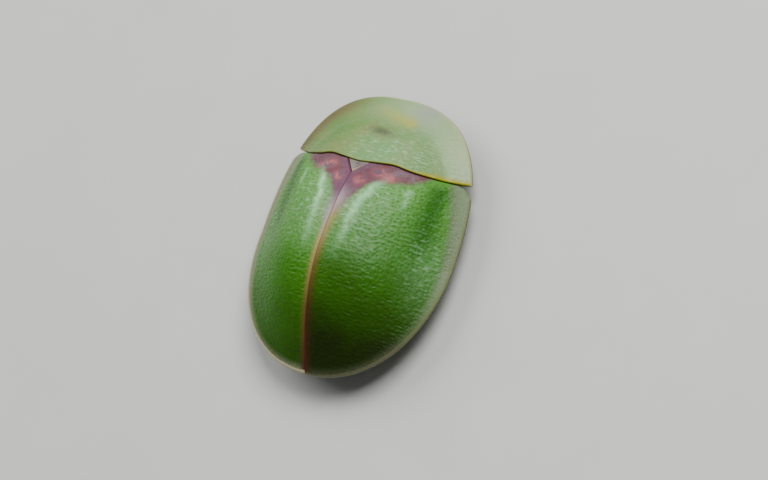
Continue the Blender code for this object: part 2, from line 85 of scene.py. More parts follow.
# Walls of the shell
MIDDLE_WALL = 0.45
MARGIN_WALL = 0.18
EDGE_WALL = 0.12
MIDDLE_SHARE = 0.55
MARGIN_SHARE = 0.85
SOLID_GAP = 0.05
FINE_GAP = 0.025
RIM_ROUNDING = 0.045

# Pronotum, its hind margin and the scutellum behind it
FLANGE_SHARE = 0.84
FLANGE_HALF = 0.035
FLANGE_DEPTH = 0.025
CORNER_KEPT = 0.9985
HIND_LIFT = 0.03
HIND_RISE = 0.19
LOBE_RISE = 0.05
LOBE_HALF = 0.35
BAY_DEPTH = 0.05
BAY_X = 0.90
BAY_HALF = 0.30
SCUTELLUM_HALF = 0.31
SCUTELLUM_LENGTH = 0.33
SCUTELLUM_SINK = 0.012
SCUTELLUM_SWELL = 0.014

# Wing cases: suture, costae, shoulders and red band, by side (1 left, -1 right) where they differ
WING_CASE_LENGTH = HALF_LENGTH + 1.6
TIP_TURN = 0.4965
SUTURE_GAP = 0.001
SUTURE_RIDGE = 0.030
SUTURE_HALF = 0.13
SUTURE_TINT_HALF = 0.125
SUTURE_HALO_HALF = 0.30
SEAM_X = (0.035, 0.005)
COSTA_RIDGE = 0.022
COSTA_HALF = 0.095
COSTA_TINT_HALF = 0.105
COSTA_SHARE = 0.162
COSTA_SPREAD = 0.147
COSTA_SPREAD_LENGTH = 0.65
COSTA_START_Y = -1.26
COSTA_WAVER = 0.035
OUTER_COSTA_X = 1.50
OUTER_COSTA_HALF = 0.07
OUTER_COSTA_PALENESS = 0.45
SHOULDER_X = 2.20
SHOULDER_WIDTH = 0.40
SHOULDER_ROUND = 0.32
STRAIGHT_AFTER = 1.6
SETTLING_STEPS = 10
BAND_REACH_X = 1.80
BAND_DEPTH = 0.57
BAND_MIDDLE = {1: 0.65, -1: 1.05}
BAND_MIDDLE_HALF = 0.36
BAND_EDGE = 0.20
BAND_FADED = 0.62
BAND_ROSE = ((0.70, -1.42), (0.98, -1.33), (0.30, -1.10))
BAND_ROSE_HALF = (0.18, 0.12)

# Swelling on each shoulder and dent behind the base: x, y, height and half widths across and along
SHOULDER_KNOB = (1.75, -1.25, 0.05, 0.35, 0.4375)
BASE_DENT = (1.05, -1.42, -0.035, 0.392, 0.175)

# Flat margin: where it starts at places from base to tip, and its cover in front and at the tip
MARGIN_PLACES = (0.10, 0.35, 0.60, 0.90)
MARGIN_STARTS = {1: (0.838, 0.873, 0.883, 0.928), -1: (0.838, 0.888, 0.913, 0.933)}
MARGIN_SOFTNESS = 0.075
MARGIN_COVER = {1: (1.0, 1.0), -1: (0.6, 0.22)}
# How much painted shade, in the strip's dark green, lies under the margin on each side
MARGIN_PAINTED_SHADE = {1: 0.0, -1: 1.0}

# Bead round the edge: pale in its own colour, and wider and brighter on the left, where the brightness is a
# painted highlight of light coming through it
BEAD_WIDTH = {1: 0.085, -1: 0.05}
BEAD_SOFTNESS = 0.04
BEAD_PALENESS_AND_HIGHLIGHT = {1: 1.0, -1: 0.25}

# Painted sheen near the margin, painted shade in a dark strip behind each shoulder, and how much of the
# darkening towards the tip shows, which is partly painted shade
OUTER_PAINTED_SHEEN = 0.5
OUTER_PAINTED_SHEEN_X = 2.25
OUTER_PAINTED_SHEEN_HALF = 0.32
INNER_PAINTED_SHEEN_X = (0.5, 2.0)
FAINTEST_PAINTED_SHEEN = 0.2
# Painted shade strip behind each shoulder: its place and half width
SHADE_STRIP_X = 2.03
SHADE_STRIP_HALF = 0.22
# Darkening towards the tip, partly the dark body seen through the wing case and partly painted shade, fuller
# on the right
TIP_DARKENING_AND_SHADE = {1: 0.72, -1: 1.0}

# Places along the wing cases between which each mark comes in or dies away
COSTA_ENDS_Y = (1.1, -0.9)
OUTER_COSTA_STARTS_Y = (-1.30, -1.15)
OUTER_COSTA_ENDS_Y = (-0.55, -0.95)
BAND_FADES_Y = (-1.15, -0.45)
HALO_STARTS_Y = (-1.2, -0.9)
HALO_ENDS_Y = (0.4, -0.5)
PAINTED_SHEEN_ENDS_Y = (1.3, -0.4)
OUTER_PAINTED_SHEEN_STARTS_Y = (-0.6, 0.2)
OUTER_PAINTED_SHEEN_ENDS_Y = (2.0, 0.4)
SHADE_STRIP_ENDS_Y = (0.9, -0.3)
SHADE_ENDS_Y = (1.7, 0.3)
MARGIN_COVER_Y = (0.4, 2.0)
SPARSE_PITS_Y = (1.5, 3.0)

# Widths of the bare strips where pits and ridges give out
BARE_BY_SUTURE = 0.16
BARE_BY_BASE = 0.10
BARE_BY_EDGE = 0.08
RIDGELESS_EDGE = 0.05

# Underside of the body
BODY_SHARE = 0.74
BODY_SPARE = 0.015
THINNEST_PLATE = 0.02
BELLY_Z = 0.77
BELLY_SIDE_RISE = 0.08
BELLY_REAR_RISE = 0.26
KEEL_DROP = 0.10
KEEL_HALF = 0.11
PROTHORAX_Y = (-2.555, -1.725)
PROTHORAX_HALF = 1.25
PROTHORAX_FRONT_HALF = 0.75
PROTHORAX_WIDENS = 0.4
MESOTHORAX_Y = (-1.705, -0.845)
METATHORAX_Y = (-0.825, 0.345)
ABDOMEN_Y = (0.365, 2.72)
STERNITES = 5
STERNITE_STEP = 0.05
STERNITE_ROUNDING = 1.5

# Relief of the underside: grooves, hollows round the hips, seams and dimples
SIDE_GROOVE_DEPTH = 0.03
SIDE_GROOVE_HALF = 0.025
SIDE_GROOVE_SHARE = 0.62
SIDE_GROOVE_SWING = 0.12
MIDDLE_LINE_DEPTH = 0.02
MIDDLE_LINE_HALF = 0.018
MIDDLE_LINE_Y = (-0.9, -0.6)
HIP_HOLLOW_RADIUS = 0.24
HIP_HOLLOW_DEPTH = 0.09
BELLY_SEAM_DEPTH = 0.03
BELLY_SEAM_HALF = 0.018
DIMPLE_DEPTH = 0.03
DIMPLE_RADIUS = 0.05
DIMPLE_SHARE = 0.8

# Amber edge of the belly: its width, where it starts behind the legs, and the tip of the belly
AMBER_EDGE = 0.14
AMBER_STARTS_Y = (0.45, 0.65)
AMBER_TIP_Y = (ABDOMEN_Y[1] - 0.16, ABDOMEN_Y[1] - 0.04)
AMBER_STRENGTH = 0.9

# Head: dents and swellings are x, y, z, radius and depth, on both sides
HEAD_CENTRE = (0.0, -2.83, 0.60)
HEAD_RADII = (0.57, 0.38, 0.36)
HEAD_FEATURES = (
    (0.16, -3.18, 0.60, 0.10, 0.05),
    (0.0, -3.20, 0.80, 0.05, 0.03),
    (0.0, -3.22, 0.45, 0.12, -0.03),
    (0.30, -3.12, 0.42, 0.05, 0.035),
    (0.49, -2.88, 0.69, 0.24, 0.07),
)
EYE_CENTRE = (0.49, -2.88, 0.69)
EYE_RADII = (0.155, 0.175, 0.245)

# Neck, lips, left mandible with its teeth, and left palps: x, y, z, half width and half height
NECK = ((0, -2.72, 0.82, 0.36, 0.15), (0, -2.60, 0.84, 0.38, 0.17))
LABRUM = ((-0.17, -3.05, 0.27, 0.05, 0.07), (0, -3.10, 0.26, 0.07, 0.085), (0.17, -3.05, 0.27, 0.05, 0.07))
LABIUM = ((0, -2.72, 0.24, 0.15, 0.05), (0, -2.86, 0.23, 0.20, 0.06), (0, -2.96, 0.22, 0.13, 0.05))
MANDIBLE = (
    (0.22, -2.88, 0.27, 0.07, 0.08), (0.17, -3.02, 0.22, 0.06, 0.07), (0.05, -3.08, 0.17, 0.04, 0.035),
)
TEETH_X = (0.06, 0.10, 0.14)
TOOTH = ((0.0, -3.05, 0.18, 0.02, 0.025), (-0.03, -3.08, 0.145, 0.008, 0.01))
PALP_SWELL = 1.15
MAXILLARY_PALP = (
    (0.16, -2.84, 0.24, 0.035, 0.035), (0.26, -2.84, 0.20, 0.04, 0.04), (0.33, -2.90, 0.17, 0.04, 0.04),
    (0.36, -3.00, 0.14, 0.042, 0.042), (0.34, -3.12, 0.10, 0.022, 0.022),
)
LABIAL_PALP = (
    (0.08, -2.92, 0.20, 0.025, 0.025), (0.12, -2.98, 0.16, 0.028, 0.028), (0.13, -3.05, 0.125, 0.026, 0.026),
    (0.11, -3.11, 0.10, 0.014, 0.014),
)

# Antenna: its route on the left, the lengths and form of its eleven joints, and which make the club
ANTENNA_ROUTE = (
    (0.20, -3.12, 0.58), (0.42, -3.26, 0.52), (0.86, -3.24, 0.49), (1.36, -3.03, 0.49),
    (1.76, -2.66, 0.51), (2.00, -2.22, 0.53), (2.06, -1.82, 0.54),
)
ANTENNA_LENGTHS = (1.35, 0.75, 1.0, 1.0, 0.9, 0.85, 0.85, 0.8, 0.8, 0.85, 1.35)
JOINT_WIDEST_AT = 0.55
JOINT_ROOT = 0.62
JOINT_TIP = 0.92
LAST_JOINT_TIP = 0.45
FIRST_JOINT_WIDTH = 1.75
CLUB_WIDENS = (4.5, 7.0)
CLUB_DARKENS = (4.5, 7.5)

# Legs: hip, knee, ankle and toe of the left side
LEGS = {
    "fore": ((0.42, -2.00, 0.47), (1.08, -2.56, 0.45), (1.36, -2.09, 0.27), (1.88, -2.20, 0.10)),
    "mid": ((0.50, -1.16, 0.47), (1.36, -1.26, 0.45), (1.82, -0.98, 0.27), (2.24, -0.64, 0.10)),
    "hind": ((0.46, 0.06, 0.47), (1.36, 0.52, 0.45), (1.74, 1.17, 0.27), (1.90, 1.76, 0.10)),
}

# Trochanter and root of the femur: share along, shift aside, lift, half width and half height
TROCHANTER = ((0.0, 0, 0, 0.10, 0.10), (0.5, 0, -0.01, 0.135, 0.13), (1.0, 0, 0, 0.11, 0.10))
FEMUR_ROOT = (0.0, 0, 0, 0.09, 0.09)

# Femur and tibia likewise, with their last two values as shares of the half width that a user sets
FEMUR_PROFILE = (
    (0.25, 0.01, 0.01, 0.92, 0.85), (0.55, 0.015, 0.015, 1.0, 0.92), (0.82, 0, 0.01, 0.80, 0.72),
    (1.0, 0, 0, 0.66, 0.60),
)
TIBIA_PROFILE = (
    (-0.02, 0, 0, 0.85, 0.85), (0.12, 0, 0.015, 0.70, 0.72), (0.55, 0, 0.01, 0.92, 0.84),
    (0.90, 0, 0, 1.22, 1.0), (0.99, 0, 0, 1.10, 0.9),
)

# Distances from the hip to both ends of the trochanter and to the femur, and the femur's dark part
TROCHANTER_SPAN = (0.14, 0.33)
FEMUR_START = 0.22
FEMUR_DARK = (0.52, 0.27)

# Spurs of a tibia: half widths at root and tip, and how far they sit back and aside, and droop
SPUR_LENGTH = 0.10
SPUR_HALF = (0.018, 0.004)
SPUR_BACK = 0.03
SPUR_ASIDE = 0.7
SPUR_DROOP = 0.02

# Joints of a foot: share along, shift aside, height over the floor, half width and half height
FIRST_TARSAL = ((0.14, 0, 0.15, 0.09, 0.07), (0.27, 0, 0.085, 0.115, 0.05))
SECOND_TARSAL = ((0.24, 0, 0.075, 0.08, 0.05), (0.36, 0, 0.065, 0.12, 0.055), (0.47, 0, 0.06, 0.13, 0.045))
LOBE_TARSAL = (
    (0.44, 0.03, 0.055, 0.06, 0.045), (0.60, 0.075, 0.052, 0.085, 0.05), (0.78, 0.10, 0.048, 0.075, 0.04),
)
CLAW_TARSAL = ((0.50, 0, 0.10, 0.03, 0.03), (0.75, 0, 0.115, 0.038, 0.038), (0.97, 0, 0.085, 0.05, 0.045))
CLAW = (
    (0.95, 0.012, 0.085, 0.022, 0.022), (1.03, 0.055, 0.075, 0.018, 0.018),
    (1.10, 0.095, 0.045, 0.011, 0.011), (1.12, 0.11, 0.008, 0.004, 0.004),
)

# Bristles: cells along a side of the unwrap, how much of its cell a bar fills, patch size, bare soles
SKIN_CELLS = 12
SKIN_FILL = 0.9
BAKE_PATCH = 0.003
BARE_BELOW_Z = 0.11

# Margin and edges of the pronotum: between which places they come in, and how faint on their weak side
PRONOTUM_MARGIN_SHARE = (0.74, 0.94)
PRONOTUM_MARGIN_X = (1.6, -0.6)
PRONOTUM_MARGIN_LEFT = 0.1
TAN_SHARE = (0.84, 0.96)
TAN_X = (0.6, 1.8)
TAN_RIGHT = 0.15
CORNER_SPREAD_X = (-1.2, -1.8)
HIND_WIDTH = (0.045, 0.15)
HIND_SOFTNESS = (0.04, 0.12)
HIND_X = (0.3, -1.2)
HIND_LEFT = 0.4
PRONOTUM_BEAD = (0.05, 0.01)
# Painted sheen on the back of the pronotum, off to its right
PRONOTUM_PAINTED_SHEEN_X = -0.55
PRONOTUM_PAINTED_SHEEN_HALF = 1.15

# Marks on the pronotum, by x and y: a dark smudge, a violet tint and the ends of a yellow streak
SMUDGE = (-0.05, -2.55)
SMUDGE_HALF = (0.33, 0.11)
SMUDGE_SLANT = 0.1
VIOLET = (-0.80, -3.32)
VIOLET_HALF = 0.38
STREAK_START = (0.40, -3.20)
STREAK_END = (-0.60, -2.94)
STREAK_HALF = 0.15

# Camera of the photo, whose frame is 768 by 480 pixels
IMAGE_WIDTH = 768
IMAGE_HEIGHT = 480
CAMERA_AZIMUTH = -108.684
CAMERA_ELEVATION = 56.159
CAMERA_ROLL = -19.123
CAMERA_DISTANCE = 144.9
CAMERA_AIM = (0.0, -0.656, 1.2)
AIM_PIXEL = (358.468, 206.315)
PIXELS_PER_MM = 41.53

# Studio
FLOOR_HALF = 400.0
KEY_DIRECTION = (-0.36, -0.44, 0.82)
FILL_DIRECTION = (0.66, -0.30, 0.69)

# Fineness of the shell's meshes: squares along and across, and squares under one coarse square
WING_CASE_GRID = (360, 250)
PRONOTUM_GRID = (180, 420)
SCUTELLUM_GRID = (60, 100)
COARSE_STEP = 10


def clamp(value, low=0.0, high=1.0):
    """Value kept between two limits."""
    return np.clip(value, low, high)


def blend(first, last, share):
    """First value at a share of 0, last one at 1, and evenly between."""
    return first + (last - first) * share


def ease(share):
    """0 to 1, starting and ending gently."""
    share = clamp(share)
    return share * share * (3 - 2 * share)


def rise(value, start, end):
    """0 up to the start and 1 past the end, eased between. The end may be below the start."""
    return ease((value - start) / (end - start))


def swell(distance, half):
    """1 at no distance, falling away evenly over about twice the half width."""
    return np.exp(-(distance / half) ** 2)


def oval(x, y, centre, half_x, half_y):
    """Swell round a centre, with a half width each way."""
    return swell(x - centre[0], half_x) * swell(y - centre[1], half_y)


def beside_line(x, y, start, end):
    """Distance from the line between two places, and how far along it, from 0 to 1."""
    run_x, run_y = end[0] - start[0], end[1] - start[1]
    along = clamp(((x - start[0]) * run_x + (y - start[1]) * run_y) / (run_x ** 2 + run_y ** 2))
    return np.hypot(x - start[0] - along * run_x, y - start[1] - along * run_y), along


def linear(code):
    """Linear colour of an sRGB hex value."""
    parts = [int(code[start:start + 2], 16) / 255 for start in (1, 3, 5)]
    return tuple(part / 12.92 if part <= 0.04045 else ((part + 0.055) / 1.055) ** 2.4 for part in parts)


# The shell as one height over x and y

def outline_at(y):
    """Reach and power of the outline in front of the widest place, or behind it."""
    front = y < WIDEST_Y
    return np.where(front, FRONT_REACH, REAR_REACH), np.where(front, FRONT_POWER, REAR_POWER)


def shell_share(x, y):
    """0 at the middle of the shell and 1 on its outline."""
    reach, power = outline_at(y)
    across = (np.abs(x) / HALF_WIDTH) ** power
    along = (np.abs(y - WIDEST_Y) / reach) ** power
    return (across + along) ** (1 / power)


def half_width_at(y, share=1.0):
    """Half width at y of the outline, or of a smaller one inside it."""
    reach, power = outline_at(y)
    rest = share ** power - (np.abs(y - WIDEST_Y) / reach) ** power
    return HALF_WIDTH * np.maximum(rest, 0.0) ** (1 / power)


def front_y(x):
    """Front of the outline."""
    rest = 1 - (np.abs(x) / HALF_WIDTH) ** FRONT_POWER
    return WIDEST_Y - FRONT_REACH * np.maximum(rest, 0.0) ** (1 / FRONT_POWER)


def rim_z(y):
    """Height of the rim, which rises towards the rear and a little in front."""
    rear = REAR_LIFT * (y - WIDEST_Y) / REAR_REACH
    front = FRONT_LIFT * clamp((CHORD_Y - y) / PRONOTUM_LENGTH)
    return RIM_Z + np.where(y > WIDEST_Y, rear, front)


def dome_z(x, y):
    """Outside of the shell without its relief: a crown blended with a flatter apron."""
    share = clamp(shell_share(x, y), 1e-6, 1.0)
    side = clamp((np.abs(x) / HALF_WIDTH / share) ** 2)
    steepness = CROWN_BLUNTNESS + SIDE_BLUNTNESS * side
    crown = (1 - share ** (CROWN_POWER + SIDE_POWER * side)) ** steepness
    apron = 1 - share ** APRON_POWER
    return rim_z(y) + DOME_HEIGHT * blend(apron, crown, CROWN_PART)


def wall_at(x, y):
    """Thickness of the shell, measured upright, which thins towards its edge."""
    share = shell_share(x, y)
    inner = blend(MIDDLE_WALL, MARGIN_WALL, rise(share, MIDDLE_SHARE, MARGIN_SHARE))
    outer = blend(MARGIN_WALL, EDGE_WALL, clamp((share - MARGIN_SHARE) / (1 - MARGIN_SHARE)))
    return np.where(share < MARGIN_SHARE, inner, outer)


def under_z(x, y):
    """Inside of the shell."""
    return dome_z(x, y) - wall_at(x, y)


CORNER_X = float(half_width_at(CHORD_Y))


def hind_y(x):
    """Hind margin of the pronotum."""
    arch = HIND_RISE * (1 - (np.abs(x) / CORNER_X) ** 4)
    lobe = LOBE_RISE * swell(x, LOBE_HALF)
    bay = BAY_DEPTH * swell(np.abs(x) - BAY_X, BAY_HALF)
    return CHORD_Y + arch + lobe - bay


SCUTELLUM_BASE_Y = float(hind_y(SCUTELLUM_HALF)) + FINE_GAP
SCUTELLUM_TIP_Y = SCUTELLUM_BASE_Y + SCUTELLUM_LENGTH


# Meshes

def plate(outer, inner):
    """Vertices and faces of a closed plate: a fine outer grid, a coarse inner one and a rim between."""
    rows, columns = outer.shape[0] - 1, outer.shape[1] - 1
    step = COARSE_STEP
    fine = np.arange(outer[..., 0].size).reshape(outer.shape[:2])
    coarse = np.arange(inner[..., 0].size).reshape(inner.shape[:2]) + fine.size
    faces = np.stack([fine[:-1, :-1], fine[:-1, 1:], fine[1:, 1:], fine[1:, :-1]], -1).reshape(-1, 4).tolist()
    back = np.stack([coarse[:-1, :-1], coarse[1:, :-1], coarse[1:, 1:], coarse[:-1, 1:]], -1)
    faces += back.reshape(-1, 4).tolist()
    borders = (
        (fine[0], coarse[0]),
        (fine[:, columns], coarse[:, -1]),
        (fine[rows, ::-1], coarse[-1, ::-1]),
        (fine[::-1, 0], coarse[::-1, 0]),
    )
    for fine_line, coarse_line in borders:
        for place in range(len(coarse_line) - 1):
            strip = fine_line[place * step:(place + 1) * step + 1][::-1].tolist()
            faces.append([int(coarse_line[place]), int(coarse_line[place + 1]), *strip])
    return np.concatenate([outer.reshape(-1, 3), inner.reshape(-1, 3)]), faces


def mesh_object(name, vertices, faces, values=None):
    """Smooth mesh object in millimetres, with its named surface values."""
    mesh = bpy.data.meshes.new(name)
    mesh.from_pydata(np.asarray(vertices).tolist(), [], faces)
    for key, value in (values or {}).items():
        value = np.asarray(value, float)
        kind, field = ("FLOAT_VECTOR", "vector") if value.ndim == 2 else ("FLOAT", "value")
        mesh.attributes.new(key, kind, "POINT").data.foreach_set(field, value.ravel())
    mesh.shade_smooth()
    made = bpy.data.objects.new(name, mesh)
    bpy.context.scene.collection.objects.link(made)
    return made


def settle(holder, tree, inputs):
    """Gives an object the plain mesh that a Geometry Nodes tree makes of it with these inputs."""
    modifier = holder.modifiers.new(tree.name, "NODES")
    modifier.node_group = tree
    for socket in tree.interface.items_tree:
        if socket.name in inputs:
            modifier[socket.identifier] = inputs[socket.name]
    graph = bpy.context.evaluated_depsgraph_get()
    rough = holder.data
    holder.data = bpy.data.meshes.new_from_object(holder.evaluated_get(graph))
    holder.modifiers.clear()
    bpy.data.meshes.remove(rough)


def hand_over(holder, slot, *nodes):
    """Brings a finished piece to metres and sets it in the frame in place of its solids."""
    holder.data.transform(Matrix.Scale(MM, 4))
    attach(holder, BODY)
    if nodes:
        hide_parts(*nodes)


# Node trees

def feed(tree, node, inputs):
    """Feeds a node's inputs, by name or number, with values, sockets or nodes."""
    for key, value in inputs.items():
        socket = node.inputs[key] if isinstance(key, int) else next(
            entry for entry in node.inputs if entry.name == key and entry.enabled)
        if isinstance(value, bpy.types.Node):
            value = next(entry for entry in value.outputs if entry.enabled)
        if isinstance(value, bpy.types.NodeSocket):
            tree.links.new(value, socket)
        elif socket.type == "RGBA":
            socket.default_value = (*value, 1.0)
        else:
            socket.default_value = value


def add(tree, kind, inputs=None, ramp=None, **settings):
    """Adds a node with its settings, its inputs and, for a colour ramp, its stops."""
    node = tree.nodes.new(kind)
    for name, value in settings.items():
        setattr(node, name, value)
    if ramp:
        stops = node.color_ramp.elements
        for stop, (place, colour) in zip((stops[0], stops[1]), (ramp[0], ramp[-1])):
            stop.position = place
            stop.color = (*colour, 1.0)
        for place, colour in ramp[1:-1]:
            stops.new(place).color = (*colour, 1.0)
    feed(tree, node, inputs or {})
    return node


def geometry_tree(name, sockets):
    """Empty Geometry Nodes tree with a geometry input, named inputs and a geometry output."""
    tree = bpy.data.node_groups.new(name, "GeometryNodeTree")
    tree.interface.new_socket("Geometry", in_out="INPUT", socket_type="NodeSocketGeometry")
    for label, kind in sockets.items():
        tree.interface.new_socket(label, in_out="INPUT", socket_type="NodeSocket" + kind)
    tree.interface.new_socket("Geometry", in_out="OUTPUT", socket_type="NodeSocketGeometry")
    return tree, add(tree, "NodeGroupInput").outputs


def pits(tree, given, axes):
    """Share of a pit's depth at each place: round pits in rows that stray a little."""
    across = add(tree, "ShaderNodeMath", {0: axes.outputs["X"], 1: given["Pit Across"]}, operation="DIVIDE")
    along = add(tree, "ShaderNodeMath", {0: axes.outputs["Y"], 1: given["Pit Along"]}, operation="DIVIDE")
    place = add(tree, "ShaderNodeCombineXYZ", {"X": across, "Y": along})
    place = add(tree, "ShaderNodeVectorMath", {0: place, 1: given["Seed"]}, operation="ADD")
    cells = add(tree, "ShaderNodeTexVoronoi", {"Vector": place, "Scale": 1.0,
                "Randomness": given["Pit Scatter"]}, voronoi_dimensions="2D", feature="F1")
    return add(tree, "ShaderNodeMapRange", {"Value": cells.outputs["Distance"],
               "From Max": given["Pit Radius"], "To Min": 1.0, "To Max": 0.0},
               interpolation_type="SMOOTHSTEP")


def creases(tree, given, axes):
    """Clouds drawn out across the surface. Those above the middle stand up as wrinkles."""
    across = add(tree, "ShaderNodeMath", {0: axes.outputs["X"], 1: given["Wrinkle Across"]},
                 operation="DIVIDE")
    along = add(tree, "ShaderNodeMath", {0: axes.outputs["Y"], 1: given["Wrinkle Along"]},
                operation="DIVIDE")
    place = add(tree, "ShaderNodeCombineXYZ", {"X": across, "Y": along, "Z": given["Seed"]})
    return add(tree, "ShaderNodeTexNoise", {"Vector": place, "Scale": 1.0, "Detail": 1.0,
               "Distortion": 0.3}, noise_dimensions="3D")


def margin_ridges(tree, given, lie, axes):
    """Height of the fine ridges across the margin, which waver a little."""
    waver = add(tree, "ShaderNodeTexNoise", {"Vector": lie, "Scale": 2.5, "Detail": 1.0})
    waver = add(tree, "ShaderNodeMath", {0: waver, 1: 0.3, 2: axes.outputs["Z"]}, operation="MULTIPLY_ADD")
    turn = add(tree, "ShaderNodeMath", {0: waver, 1: given["Ridge Pitch"]}, operation="DIVIDE")
    turn = add(tree, "ShaderNodeMath", {0: turn, 1: math.tau}, operation="MULTIPLY")
    wave = add(tree, "ShaderNodeMath", {0: turn}, operation="SINE")
    return add(tree, "ShaderNodeMath", {0: wave, 1: given["Ridge Height"]}, operation="MULTIPLY")


def grain_tree():
    """Pits, wrinkles and margin ridges raised in a surface along its normals.

    The surface carries "lie", its own millimetres across, along and round the edge, and the masks
    "pitted" and "ridged".
    """
    tree, given = geometry_tree("shell_grain", {
        "Pit Across": "Float", "Pit Along": "Float", "Pit Radius": "Float", "Pit Depth": "Float",
        "Pit Scatter": "Float", "Wrinkle Across": "Float", "Wrinkle Along": "Float",
        "Wrinkle Height": "Float", "Ridge Pitch": "Float", "Ridge Height": "Float",
        "Seed": "Float", "Finish": "Material",
    })
    lie = add(tree, "GeometryNodeInputNamedAttribute", {"Name": "lie"}, data_type="FLOAT_VECTOR")
    axes = add(tree, "ShaderNodeSeparateXYZ", {"Vector": lie})
    pitted = add(tree, "GeometryNodeInputNamedAttribute", {"Name": "pitted"}, data_type="FLOAT")
    ridged = add(tree, "GeometryNodeInputNamedAttribute", {"Name": "ridged"}, data_type="FLOAT")
    pit = add(tree, "ShaderNodeMath", {0: pits(tree, given, axes), 1: pitted}, operation="MULTIPLY")
    sunk = add(tree, "ShaderNodeMath", {0: pit, 1: given["Pit Depth"]}, operation="MULTIPLY")
    clouds = creases(tree, given, axes)
    folds = add(tree, "ShaderNodeMath", {0: clouds, 1: -0.5}, operation="ADD")
    folds = add(tree, "ShaderNodeMath", {0: folds, 1: given["Wrinkle Height"]}, operation="MULTIPLY")
    folds = add(tree, "ShaderNodeMath", {0: folds, 1: pitted}, operation="MULTIPLY")
    ridges = margin_ridges(tree, given, lie, axes)
    ridges = add(tree, "ShaderNodeMath", {0: ridges, 1: ridged}, operation="MULTIPLY")
    raised = add(tree, "ShaderNodeMath", {0: folds, 1: ridges}, operation="ADD")
    raised = add(tree, "ShaderNodeMath", {0: raised, 1: sunk}, operation="SUBTRACT")
    normal = add(tree, "GeometryNodeInputNormal")
    offset = add(tree, "ShaderNodeVectorMath", {0: normal, "Scale": raised}, operation="SCALE")
    moved = add(tree, "GeometryNodeSetPosition", {"Geometry": given["Geometry"], "Offset": offset})
    # Crests of the wrinkles, stored as fold, on which the finishes paint glints
    crest = add(tree, "ShaderNodeMapRange", {"Value": clouds, "From Min": 0.54, "From Max": 0.68},
                interpolation_type="SMOOTHSTEP")
    crest = add(tree, "ShaderNodeMath", {0: crest, 1: pitted}, operation="MULTIPLY")
    for name, value in (("pit", pit), ("fold", crest)):
        moved = add(tree, "GeometryNodeStoreNamedAttribute", {"Geometry": moved, "Name": name,
                    "Value": value}, data_type="FLOAT", domain="POINT")
    real = add(tree, "GeometryNodeRealizeInstances", {"Geometry": moved})
    done = add(tree, "GeometryNodeSetMaterial", {"Geometry": real, "Material": given["Finish"]})
    add(tree, "NodeGroupOutput", {"Geometry": done})
    return tree


# Finishes

def per_mm(size):
    """Scale of a texture on Object coordinates whose features are this many millimetres across."""
    return 1 / (size * MM)


def new_finish(name):
    """Material, its node tree, its surface node and the place on the object that its textures use."""
    finish = bpy.data.materials.new(name)
    finish.use_nodes = True
    tree = finish.node_tree
    here = add(tree, "ShaderNodeTexCoord").outputs["Object"]
    return finish, tree, tree.nodes["Principled BSDF"], here


def rough_grit(tree, here, size, strength, depth):
    """Grit of a size and depth in millimetres, coarser than in life so that it shows, and its bumps."""
    grit = add(tree, "ShaderNodeTexNoise", {"Vector": here, "Scale": per_mm(size), "Detail": 2.0})
    bump = add(tree, "ShaderNodeBump", {"Height": grit, "Strength": strength, "Distance": depth * MM})
    return grit, bump


def coated(tree, colour, coats):
    """Lays coats over a base colour in turn, each a mask, a colour and how strongly it covers."""
    for mask, paint, strength in coats:
        share = add(tree, "ShaderNodeMath", {0: mask, 1: strength}, operation="MULTIPLY")
        colour = add(tree, "ShaderNodeMix", {"Factor": share, "A": colour, "B": paint}, data_type="RGBA")
    return colour


def red_band(tree, mottle, masks, colours):
    """Colour of the band at the base of the wing cases, and how far it covers the green."""
    band = add(tree, "ShaderNodeValToRGB", {"Fac": mottle}, ramp=(
        (0.38, colours.band_violet), (0.60, colours.band_maroon)))
    rose = add(tree, "ShaderNodeMapRange", {"Value": mottle, "From Min": 0.40, "From Max": 0.60},
               interpolation_type="SMOOTHSTEP")
    rose = add(tree, "ShaderNodeMath", {0: rose, 1: masks["rose"]}, operation="MULTIPLY")
    edge = add(tree, "ShaderNodeMath", {0: mottle, 1: 0.6, 2: masks["red"]}, operation="MULTIPLY_ADD")
    edge = add(tree, "ShaderNodeMapRange", {"Value": edge, "From Min": 0.42, "From Max": 1.15},
               interpolation_type="SMOOTHSTEP")
    return coated(tree, band, ((rose, colours.band_rose, 0.8),)), edge


